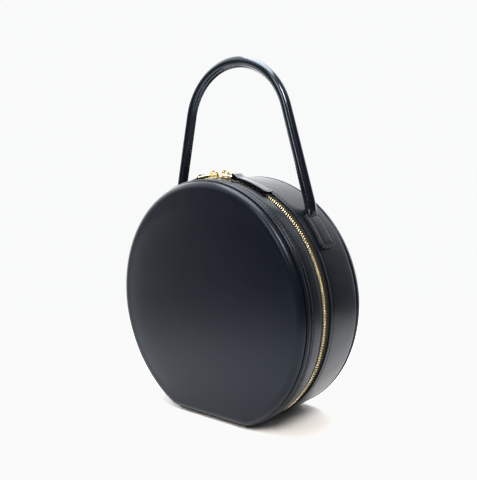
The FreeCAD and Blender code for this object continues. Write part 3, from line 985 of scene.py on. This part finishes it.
@dataclass
class Base:
    """The flat base: its leather and its lining. Sizes are in millimetres."""

    finishes: Finishes
    half_depth: float = 33.2
    leather_levels: tuple[float, float] = (0.0, 1.6)
    leather_corner: float = 2.0
    lining_levels: tuple[float, float] = (3.8, 4.6)
    lining_corner: float = 1.0
    end_run: tuple[float, ...] = (0.0, 0.15, 0.5, 1.2)
    end_ease: tuple[float, ...] = (1.0, 0.4, 0.12, 0.0)
    end_room: float = 2.0
    end_narrow: float = 0.012
    end_flat: float = 0.7
    columns: int = 40

    def half_length(self, level: float) -> float:
        """Half the base's length at a height above the floor."""
        slope = math.tan(math.pi - DRUM.corner_angle)
        return (DRUM.centre - level) * slope - DRUM.seam_gap

    def slab(self, levels: tuple[float, float], corner: float) -> Skin:
        """A thin layer with soft edges, between two levels."""
        low, high = levels
        half, deep = self.half_length(high), self.half_depth
        loop = soften([(-deep, low), (-deep, high), (-deep + corner, high), (0, high), (deep - corner, high),
                       (deep, high), (deep, low), (deep - corner, low), (0, low), (-deep + corner, low)])
        ends, eases = np.array(self.end_run), np.array(self.end_ease)
        inner = half - self.end_room
        run = np.concatenate((ends - half, np.linspace(-inner, inner, self.columns), half - ends[::-1]))
        ease = np.concatenate((eases, np.zeros(self.columns), eases[::-1]))
        middle = (low + high) / 2
        sections = [np.stack((np.full(len(loop), x), loop[:, 0] * (1 - self.end_narrow * e),
                              middle + (loop[:, 1] - middle) * (1 - self.end_flat * e)), axis=-1)
                    for x, e in zip(run, ease)]
        skin = Skin()
        skin.loft(np.array(sections))
        return skin

    def build(self) -> None:
        """Make the leather and the lining of the base."""
        sheet = self.slab(self.leather_levels, self.leather_corner)
        leather = sheet.build("base_leather", self.finishes.side)
        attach(leather, "shell")
        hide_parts("base_panel")
        sheet = self.slab(self.lining_levels, self.lining_corner)
        lining = sheet.build("base_cloth", self.finishes.level_lining)
        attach(lining, "shell")
        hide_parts("base_lining")


# The zip
@dataclass
class ZipRow:
    """One zip tape and its row of teeth. Sizes are in millimetres."""

    row: Row
    finishes: Finishes
    chain_half: float = 2.7
    tape_width: float = 13.0
    tape_levels: tuple[float, float] = (-2.3, -1.7)
    tape_lap: float = 0.9
    wave: float = 0.03
    bead: float = 0.85
    bead_top: float = 0.5
    bead_width: float = 1.3
    bead_foot: float = 0.1
    pitch: float = 2.28
    tooth_level: float = -2.0
    tooth_reach: float = 2.85
    tooth_sides: int = 12
    tooth_square: float = 0.7
    end_room: float = 6.0
    spread: float = 0.72
    wedge_angle: float = 3.0
    wedge_reach: tuple[float, float] = (1.7, 5.0)
    slider_run: float = 112.0

    @property
    def edge(self) -> float:
        """Where the tape meets its teeth."""
        return DRUM.zip_place + self.row.value * self.chain_half

    def tape_profile(self) -> np.ndarray:
        """The tape's section, with a bead along the teeth."""
        low, high = self.tape_levels
        middle = (low + high) / 2
        inward = self.row.value
        near, far = self.edge - self.tape_lap * inward, self.edge + self.tape_width * inward
        top, foot = near + self.bead_top * inward, near + self.bead_width * inward
        bead = [(near, middle + self.bead / 2), (top, middle + self.bead), (foot, high + self.bead_foot)]
        under = [(foot, low - self.bead_foot), (top, middle - self.bead), (near, middle - self.bead / 2)]
        return soften([*bead, (far, high), (far, low), *under])

    def tooth(self) -> np.ndarray:
        """One tooth: along the zip, across towards the other row, and up."""
        across = np.array((0.11, 0.15, 0.23, 0.40, 0.60, 0.77, 0.90, 0.98, 1.0)) * self.tooth_reach
        wide = np.array((0.20, 0.32, 0.37, 0.39, 0.40, 0.38, 0.32, 0.22, 0.12))
        tall = np.array((0.3, 0.4, 0.5, 0.85, 1.2, 1.15, 0.85, 0.5, 0.25))
        turn = (np.arange(self.tooth_sides) + 0.5) * 2 * math.pi / self.tooth_sides
        x, y = (np.sign(f(turn)) * np.abs(f(turn)) ** self.tooth_square for f in (np.cos, np.sin))
        return np.array([np.stack((w * x, np.full_like(x, a), t * y), axis=-1)
                         for a, w, t in zip(across, wide, tall)])

    def teeth(self) -> bpy.types.Object:
        """The row of teeth, parted where the wedge of a slider stands at either end of its run."""
        inward = self.row.value
        step = self.pitch / (DRUM.radius + self.tooth_level)
        count = int(2 * (DRUM.corner_angle - math.radians(self.end_room)) / step)
        angle = (np.arange(count) - (count - 1) / 2) * step + inward * step / 4
        stands = np.radians((self.wedge_angle, self.wedge_angle + self.slider_run))
        near, far = np.radians(self.wedge_reach)
        away = np.abs(np.abs(angle)[:, None] - stands).min(axis=1)
        shift = self.spread * (1 - smooth(np.clip((away - near) / (far - near), 0, 1)))
        places = DRUM.point(angle, self.tooth_level, self.edge + inward * shift)
        along, up = DRUM.outward(angle + math.pi / 2), DRUM.outward(angle)
        over = np.broadcast_to((0.0, -inward, 0.0), along.shape)
        skin = Skin()
        skin.copies(self.tooth(), places, np.stack((along, over, up), axis=1))
        return skin.build(f"{self.row.label}_teeth", self.finishes.gold)

    def build(self) -> None:
        """Make the tape and the teeth."""
        name = self.row.label
        skin = Skin()
        SideStrip(self.row, self.finishes).bend(skin, self.tape_profile(), self.wave)
        tape = skin.build(f"{name}_tape", self.finishes.tape)
        carry(tape, self.row)
        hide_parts(f"{name}_zip_tape")
        teeth = self.teeth()
        carry(teeth, self.row)
        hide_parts(f"{name}_zip_teeth")


@dataclass
class Pull:
    """The leather pull of one slider, folded round its link. Sizes are in millimetres."""

    side: Side
    finishes: Finishes
    bar_angle: float = 10.152
    bar_level: float = 3.2
    length: float = 39.0
    half_width: float = 5.9
    layer: float = 1.45
    low: float = 0.4
    lower: float = 0.75
    upper: float = 2.25
    thickness: float = 3.0
    loop_radius: float = 1.85
    loop_turn: tuple[float, float] = (80.0, 280.0)
    loop_room: float = 7.0
    rise: Pairs = ((5.4, 0.08), (4.2, 0.4), (3.0, 0.95), (1.7, 1.5))
    fall: Pairs = ((1.7, -0.3), (3.0, -0.16), (4.2, -0.06), (5.4, 0.0))
    corner: float = 3.0
    edge_round: float = 0.6
    edge_bow: float = 0.04
    cut_faces: tuple[int, ...] = (0, 1, 2, 7)
    stitch_inset: float = 1.5
    stitch_start: float = 6.2
    stitch_end: float = 1.9

    def route(self) -> np.ndarray:
        """The middle of the folded strip, as distances along the pull and levels."""
        upper, lower = self.low + self.upper, self.low + self.lower
        straight = self.length - self.corner
        ahead = np.concatenate((np.linspace(self.length, straight, 7)[:-1],
                                np.linspace(straight, self.loop_room, 22)))
        top = np.stack((ahead, np.full_like(ahead, upper)), axis=-1)
        turn = np.radians(np.linspace(*self.loop_turn, 17))
        loop = np.stack((np.cos(turn), np.sin(turn)), axis=-1) * self.loop_radius + (0.0, self.bar_level)
        rise, fall = np.array(self.rise) + (0.0, upper), np.array(self.fall) + (0.0, lower)
        bottom = np.stack((ahead[::-1], np.full_like(ahead, lower)), axis=-1)
        return np.concatenate((top, rise, loop, fall, bottom))

    def half_widths(self, along: np.ndarray) -> np.ndarray:
        """Half the pull's width, rounded off at its free end."""
        past = np.clip(along - (self.length - self.corner), 0, self.corner)
        return self.half_width - self.corner + np.sqrt(self.corner ** 2 - past ** 2)

    def place(self, along: Any, level: Any, across: Any) -> np.ndarray:
        """Points of the pull on the bag."""
        angle = math.radians(self.bar_angle) + np.asarray(along) / DRUM.radius
        return DRUM.point(self.side.value * angle, level, DRUM.zip_place + np.asarray(across))

    def section(self, wide: float) -> np.ndarray:
        """The strip's section where it has half a width: half of it, and the same again turned about."""
        half, small, bow = self.layer / 2, self.edge_round, wide - self.edge_bow
        loop = np.array(((bow, half - small), (wide, 0.0), (bow, small - half), (wide - small, -half),
                         (wide / 2, -half), (0.0, -half), (-wide / 2, -half), (small - wide, -half)))
        return np.concatenate((loop, -loop))

    def strip(self) -> Skin:
        """The folded strip, with paint on its cut edges."""
        route = self.route()
        ahead = unit(np.gradient(route, axis=0))
        normal = np.stack((-ahead[:, 1], ahead[:, 0]), axis=-1)
        sections = []
        for (along, level), (n_along, n_level), wide in zip(route, normal, self.half_widths(route[:, 0])):
            across, out = self.section(wide).T
            sections.append(self.place(along + out * n_along, level + out * n_level, across))
        skin = Skin()
        numbers = skin.loft(np.array(sections))
        loop = numbers.shape[1]
        for face in range((len(sections) - 1) * loop):
            skin.paints[face] = int(face % (loop // 2) in self.cut_faces)
        return skin

    def seams(self) -> Skin:
        """The stitches round the strip, above and below."""
        skin = Skin()
        line, bend = self.half_width - self.stitch_inset, self.stitch_inset
        stop = self.length - self.stitch_end - bend
        back = np.linspace(self.stitch_start, stop, 60)
        turn = np.linspace(0, math.pi, 20)
        along = np.concatenate((back, stop + bend * np.sin(turn), back[::-1]))
        across = np.concatenate((np.full_like(back, line), line * np.cos(turn), np.full_like(back, -line)))
        for level, way in ((self.low + self.thickness, 1.0), (self.low, -1.0)):
            path = self.place(along, level, across)
            up = way * unit(self.place(along, level + 1, across) - path)
            Stitching(pitch=2.6, length=1.95, thickness=0.5, sink=0.05).sew(skin, path, up)
        return skin

    def build(self) -> None:
        """Make the folded strip and its stitches."""
        name = self.side.label
        # The pull's cut edges are matte and dark, partly painted shade for the gap between the pull and the
        # strip behind it.
        paints = (self.finishes.strap, self.finishes.dull_edge)
        leather = self.strip().build(f"{name}_pull_leather", *paints, crisp=50.0)
        body = f"{name}_pull"
        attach(leather, body)
        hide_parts(f"{name}_pull_tab")
        stitches = self.seams().build(f"{name}_pull_stitches", self.finishes.thread)
        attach(stitches, body)


# The handle
@dataclass(frozen=True)
class StrapEnd:
    """A flat strap's outline in millimetres, square at its upper end and rounded at its lower one."""

    start: float
    stop: float
    half_width: float
    corner: float
    upper_corner: float = 1.0
    least_corner: float = 0.15

    def ring(self, inset: float) -> np.ndarray:
        """The outline moved inwards, as places along and across."""
        start, stop, wide = self.start + inset, self.stop - inset, self.half_width - inset
        lower, upper = (max(corner - inset, self.least_corner) for corner in (self.corner, self.upper_corner))
        turn = np.linspace(0, math.pi / 2, 9)
        coarse = turn[::-2]
        run = np.linspace(start + upper, stop - lower, 24)[1:-1]
        along = np.concatenate((start + upper * (1 - np.sin(coarse)), run,
                                stop - lower + lower * np.sin(turn)))
        across = np.concatenate((wide - upper * (1 - np.cos(coarse)), np.full_like(run, wide),
                                 wide - lower * (1 - np.cos(turn))))
        half = np.stack((along, across), axis=-1)
        return np.concatenate((half, half[::-1] * (1, -1)))


@dataclass
class Handle:
    """The rolled handle and the two tabs that it is sewn down by, in one piece. Sizes are in millimetres."""

    finishes: Finishes
    place: float = 11.4
    top: float = 322.0
    arch_radius: float = 61.0
    end_angle: float = 44.3
    end_level: float = 5.8
    radius: float = 4.95
    top_radius: float = 4.6
    thin_from: float = 250.0
    arch_steps: int = 40
    leg_steps: int = 24
    toe_steps: int = 26
    toe_angle: float = 47.6
    toe_level: float = 2.2
    toe_room: float = 6.0
    toe_pull: float = 0.42
    toe_start: float = 0.4
    toe_spread: float = 0.16
    toe_thin: float = 0.45
    toe_square: float = 0.8
    tab_start: float = 46.2
    tab_end: float = 62.9
    tab_levels: tuple[float, float] = (0.1, 3.2)
    tab_half_width: float = 9.25
    tab_corner: float = 4.6
    tab_lean: float = 2.4
    tab_spine: float = 0.25
    stitch_inset: float = 2.45
    stitch_sink: float = 0.08
    furrow: float = 0.45
    points: int = 60
    inner_turn: float = 270.0
    lip_turn: float = 12.0
    lip_height: float = 1.25
    lip_half: float = 0.15
    groove_depth: float = 0.3
    groove_place: float = 0.36
    groove_half: float = 0.13
    seam_from: float = 200.0
    sway_levels: tuple[float, float] = (181.0, 206.0)

    @staticmethod
    def on_drum(angle: float, level: float) -> np.ndarray:
        """A point (across, up) above the side strip, at an angle in degrees."""
        reach, turn = DRUM.radius + level, math.radians(angle)
        return np.array((reach * math.sin(turn), DRUM.centre + reach * math.cos(turn)))

    def route(self) -> tuple[np.ndarray, np.ndarray]:
        """The right half's line from the top of the arch to the tab.

        Returns:
            Points (across, up), and how far each is into the flattened toe, from 0 to 1.
        """
        centre = self.top - self.arch_radius
        foot = self.on_drum(self.end_angle, self.end_level)
        away = math.hypot(foot[0], centre - foot[1])
        lean = math.atan2(foot[0], foot[1] - centre) - math.acos(self.arch_radius / away)
        swing = np.linspace(0, lean, self.arch_steps)
        arch = np.stack((np.sin(swing), np.cos(swing)), axis=-1) * self.arch_radius + (0.0, centre)
        ahead = unit(foot - arch[-1])
        leg_end = foot - self.toe_room * ahead
        leg = arch[-1] + np.linspace(0, 1, self.leg_steps)[1:, None] * (leg_end - arch[-1])
        toe, turn = self.on_drum(self.toe_angle, self.toe_level), math.radians(self.toe_angle)
        down = np.array((math.cos(turn), -math.sin(turn)))
        pull = np.linalg.norm(toe - leg_end) * self.toe_pull
        t = np.sin(np.linspace(0, math.pi / 2, self.toe_steps))[1:, None]
        bend = ((1 - t) ** 3 * leg_end + 3 * (1 - t) ** 2 * t * (leg_end + pull * ahead)
                + 3 * (1 - t) * t ** 2 * (toe - pull * down) + t ** 3 * toe)
        flattened = np.clip((t[:, 0] - self.toe_start) / (1 - self.toe_start), 0, 1)
        into = np.concatenate((np.zeros(len(arch) + len(leg)), flattened))
        return np.concatenate((arch, leg, bend)), into

    def section(self, into: float, girth: float) -> np.ndarray:
        """One section of the tube, as places to the back and outwards.

        Args:
            into: How far into the flattened toe it is, from 0 to 1.
            girth: The tube's radius here.

        Returns:
            The section's loop.
        """
        wide = girth * (1 + self.toe_spread * smooth(into))
        thick = max(girth * math.sqrt(1 - into * into), self.toe_thin)
        power = 2 / (2 + self.toe_square * into)
        turn = np.linspace(0, 2 * math.pi, self.points, endpoint=False)
        loop = np.stack((np.sign(np.cos(turn)) * np.abs(np.cos(turn)) ** power * wide,
                         np.sign(np.sin(turn)) * np.abs(np.sin(turn)) ** power * thick), axis=-1)
        lip = (turn - math.radians(self.inner_turn + self.lip_turn) + math.pi) % (2 * math.pi) - math.pi
        ridge = self.lip_height * np.exp(-(lip / self.lip_half) ** 4)
        groove = self.groove_depth * np.exp(-((np.abs(lip) - self.groove_place) / self.groove_half) ** 2)
        return loop * (1 + (1 - into) * (ridge - groove) / girth)[:, None]

    def half(self) -> np.ndarray:
        """The right half's sections, from the top of the arch to the tab."""
        route, into = self.route()
        ahead = unit(np.gradient(route, axis=0))
        ahead[0] = (1.0, 0.0)
        out = np.stack((-ahead[:, 1], ahead[:, 0]), axis=-1)
        rise = np.clip((route[:, 1] - self.thin_from) / (self.top - self.thin_from), 0, 1)
        sections = []
        for spot, normal, share, high in zip(route, out, into, rise):
            back, outward = self.section(share, self.radius + (self.top_radius - self.radius) * high).T
            sections.append(np.stack((spot[0] + outward * normal[0], self.place + back,
                                      spot[1] + outward * normal[1]), axis=-1))
        return np.array(sections)

    @property
    def tab(self) -> StrapEnd:
        """The outline of a tab."""
        start, stop = (math.radians(angle) * DRUM.radius for angle in (self.tab_start, self.tab_end))
        return StrapEnd(start, stop, self.tab_half_width, self.tab_corner)

    def on_tab(self, side: Side, ring: np.ndarray, level: float) -> np.ndarray:
        """Points of a ring of one tab, at a level above the side strip."""
        along, across = ring.T
        lean = self.tab_lean * (along - self.tab.start) / (self.tab.stop - self.tab.start)
        return DRUM.point(side.value * along / DRUM.radius, level, self.place + across - lean)

    def build_tab(self, skin: Skin, side: Side) -> None:
        """One tab: two layers with painted edges, and a furrow that its stitches lie in."""
        low, high = self.tab_levels
        middle, seam, spine = (low + high) / 2, self.stitch_inset, self.tab_half_width - self.tab_spine
        under = [(spine, low), (0.35, low)]
        edge = [(0.05, low + 0.3), (0.0, middle - 0.22), (0.28, middle), (0.0, middle + 0.22),
                (0.0, high - 0.45), (0.12, high - 0.14), (0.4, high)]
        face = [(0.7, high + 0.02), (seam - self.furrow, high + 0.03), (seam, high - 0.1),
                (seam + self.furrow, high + 0.03), (5.5, high + 0.12), (spine, high + 0.15)]
        rings = [skin.add_points(self.on_tab(side, self.tab.ring(inset), level))
                 for inset, level in under + edge + face]
        painted = range(len(under), len(under) + len(edge))
        for number, (first, second) in enumerate(zip(rings, rings[1:]), 1):
            skin.band(first, second, 1 if number in painted else 2)
        skin.add_faces(rings[0][None, ::-1], 2)
        skin.add_faces(rings[-1][None, :], 2)

    def sew_tab(self, skin: Skin, side: Side) -> None:
        """The stitches round one tab, open at its upper end."""
        ring = self.tab.ring(self.stitch_inset)
        path = self.on_tab(side, ring, self.tab_levels[1] - self.stitch_sink)
        normals = DRUM.outward(side.value * ring[:, 0] / DRUM.radius)
        Stitching(pitch=2.7, length=1.75, thickness=0.8, sink=0.0).sew(skin, path, normals)

    def build(self) -> None:
        """Make the handle with its tabs, and its stitches."""
        right = self.half()
        left = right * np.array((-1.0, 1.0, 1.0))
        whole = np.concatenate((left[:0:-1], right))
        skin = Skin()
        skin.loft(whole)
        for side in Side:
            self.build_tab(skin, side)
        handle = skin.build("handle_leather", self.finishes.strap, self.finishes.edge, self.finishes.side)
        self.hang(handle)
        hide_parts("handle_cover", "handle_core", "left_handle_tab", "right_handle_tab",
                    "left_tab_backing", "right_tab_backing")

        skin = Skin()
        column = round(self.inner_turn / 360 * self.points)
        middles = whole.mean(axis=1)
        tube = middles[:, 2] > self.seam_from
        seam = whole[tube][:, column]
        stitch = Stitching(pitch=3.4, length=2.4, thickness=0.5, sink=0.02)
        stitch.sew(skin, seam, unit(seam - middles[tube]))
        for side in Side:
            self.sew_tab(skin, side)
        self.hang(skin.build("handle_stitches", self.finishes.thread))

    def hang(self, piece: bpy.types.Object) -> None:
        """Bake a piece's place into its points."""
        start, end = ((0, self.place * MM, level * MM) for level in self.sway_levels)
        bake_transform(piece)


# Metal and board pieces that keep their own solids
@dataclass
class Hardware:
    """The solids that show as they are, with softened edges."""

    finishes: Finishes
    gold: tuple[str, ...] = ("zip_stop", "slider_body", "slider_crown", "pull_link")
    boards: tuple[str, ...] = ("front_board", "rear_board", "base_board")
    weld_reach: float = 1e-6
    edge_width: float = 0.25 * MM
    edge_steps: int = 2
    edge_angle: float = math.radians(35)

    def build(self) -> None:
        """Paint the metal and the boards."""
        for side in Side:
            for part in self.gold:
                self.paint(f"{side.label}_{part}", self.finishes.gold)
        for board in self.boards:
            self.paint(board, self.finishes.board)

    def paint(self, name: str, finish: bpy.types.Material) -> None:
        """Give one solid its finish and soft edges."""
        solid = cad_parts[name]
        solid.data.materials.clear()
        solid.data.materials.append(finish)
        weld = solid.modifiers.new("weld", "WELD")
        weld.merge_threshold = self.weld_reach
        bevel = solid.modifiers.new("soft_edges", "BEVEL")
        bevel.width = self.edge_width
        bevel.segments = self.edge_steps
        bevel.limit_method = "ANGLE"
        bevel.angle_limit = self.edge_angle
        log.info("%s keeps its solid", name)


# Stage
@dataclass(frozen=True)
class Lamp:
    """One soft light. Places and sizes are in metres, power in watts."""

    name: str
    place: Triple
    target: Triple
    width: float
    height: float
    power: float
    colour: Triple = (1.0, 1.0, 1.0)

    def build(self) -> None:
        """Hang the light and point it."""
        light = bpy.data.lights.new(self.name, "AREA")
        light.shape = "RECTANGLE"
        light.size, light.size_y = self.width, self.height
        light.energy = self.power
        light.color = self.colour
        lamp = bpy.data.objects.new(self.name, light)
        lamp.location = self.place
        lamp.rotation_mode = "QUATERNION"
        lamp.rotation_quaternion = (Vector(self.target) - Vector(self.place)).to_track_quat("-Z", "Y")
        bpy.context.scene.collection.objects.link(lamp)


@dataclass
class Studio:
    """The floor, the lights, the surroundings and the camera."""

    floor_rings: tuple[float, ...] = (0.2, 0.4, 0.65, 0.9)
    floor_sink: float = 0.00015
    floor_fade: tuple[float, float] = (0.22, 0.55)
    floor_shades: tuple[Triple, Triple] = ((0.73, 0.73, 0.735), (0.76, 0.76, 0.765))
    gloom: float = 0.11
    tint: tuple[float, ...] = (0.99, 0.995, 1.0, 1.0)
    white: float = 0.955
    camera_place: Triple = (0.42042, -0.45173, 0.22751)
    camera_right: Triple = (0.74054, 0.67086, -0.03932)
    camera_up: Triple = (-0.04541, 0.10833, 0.99308)
    camera_back: Triple = (0.67048, -0.73363, 0.11068)
    lens: float = 50.15
    sensor: float = 36.0

    def floor(self) -> None:
        """A pale floor that fades into the surroundings."""
        turns = np.linspace(0, 2 * math.pi, 96, endpoint=False)
        ring = np.stack((np.cos(turns), np.sin(turns), np.zeros_like(turns)), axis=-1)
        skin = Skin()
        rings = [skin.add_points((ring * radius - (0, 0, self.floor_sink)) / MM)
                 for radius in self.floor_rings]
        skin.add_faces(rings[0][None, :])
        for inner, outer in zip(rings, rings[1:]):
            skin.band(inner, outer)
        material, shader = new_shader("studio_floor")
        distance = shader.node("ShaderNodeVectorMath", {"operation": "LENGTH"}, {0: shader.place()})["Value"]
        grain = shader.noise(40.0)
        paper = shader.node("ShaderNodeBsdfPrincipled", {}, {
            "Base Color": shader.mix(grain, *self.floor_shades),
            "Roughness": 0.7, "Specular IOR Level": 0.2})["BSDF"]
        clear = shader.node("ShaderNodeBsdfTransparent")["BSDF"]
        layers = {0: distance.ease(*self.floor_fade), 1: paper, 2: clear}
        mixed = shader.node("ShaderNodeMixShader", {}, layers)["Shader"]
        shader.node("ShaderNodeOutputMaterial", {}, {"Surface": mixed})
        skin.build("studio_floor", material)

    def surroundings(self) -> None:
        """A white backdrop in a dim room, with pale patches left, above, below and at the upper left."""
        world = bpy.data.worlds.new("studio")
        world.use_nodes = True
        bpy.context.scene.world = world
        shader = Shader(world.node_tree)
        way = shader.node("ShaderNodeTexCoord")["Generated"]
        seen = shader.node("ShaderNodeLightPath")["Is Camera Ray"]
        above = way.along((0.0, 0.0, 1.0)).ease(-0.35, 0.02)
        backdrop = way.along((-0.67, 0.73, 0.0)).ease(0.2, 0.6) * above * 2.4
        left = way.along((-1.0, 0.0, 0.0)).ease(0.70, 0.85) * 1.8
        ceiling = way.along((0.0, 0.0, 1.0)).ease(0.35, 0.9) * 0.6
        ground = way.along((0.0, 0.0, -1.0)).ease(0.18, 0.34) * 0.5
        window = way.along((-0.67, -0.40, 0.62)).ease(0.86, 0.96) * 2.2
        pale = self.gloom + backdrop + left + ceiling + ground + window
        strength = pale * (1 - seen) + seen
        glow = shader.node("ShaderNodeBackground", {}, {"Color": self.tint, "Strength": strength})
        shader.node("ShaderNodeOutputWorld", {}, {"Surface": glow["Background"]})

    def lights(self) -> None:
        """A wide soft light overhead, a tall narrow one in front, and a small one at the right."""
        middle = (0.0, 0.0, 0.15)
        Lamp("overhead_light", (-0.12, -0.02, 1.4), middle, width=1.2, height=0.9, power=42.0).build()
        Lamp("front_light", (0.06, -1.0, 0.72), middle, width=0.22, height=0.75, power=6.0,
             colour=(1.0, 0.93, 0.86)).build()
        Lamp("right_light", (0.73, -0.53, 1.02), middle, width=0.2, height=0.42, power=17.0,
             colour=(1.0, 0.92, 0.84)).build()

    def camera(self) -> None:
        """The camera at the photograph's place."""
        axes = (self.camera_right, self.camera_up, self.camera_back)
        lens = bpy.data.cameras.new("camera")
        lens.lens = self.lens
        lens.sensor_width = self.sensor
        lens.sensor_fit = "AUTO"
        lens.clip_start, lens.clip_end = 0.01, 50.0
        eye = bpy.data.objects.new("camera", lens)
        eye.matrix_world = Matrix.Translation(self.camera_place) @ Matrix(axes).transposed().to_4x4()
        bpy.context.scene.collection.objects.link(eye)
        bpy.context.scene.camera = eye

    def build(self) -> None:
        """Set the whole stage."""
        self.floor()
        self.surroundings()
        self.lights()
        self.camera()
        view = bpy.context.scene.view_settings
        view.view_transform = "Standard"
        view.use_curve_mapping = True
        view.curve_mapping.extend = "HORIZONTAL"
        view.curve_mapping.curves[3].points[1].location = (1.0, self.white)
        view.curve_mapping.update()


def main() -> None:
    """Build every piece in order."""
    logging.basicConfig(level=logging.INFO, format="%(message)s")
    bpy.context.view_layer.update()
    Studio().build()
    finishes = Finishes.make()
    for row in Row:
        Face(row, finishes).build()
        SideStrip(row, finishes).build()
        ZipRow(row, finishes).build()
    Base(finishes).build()
    for side in Side:
        Pull(side, finishes).build()
    Handle(finishes).build()
    Hardware(finishes).build()


if __name__ == "__main__":
    main()
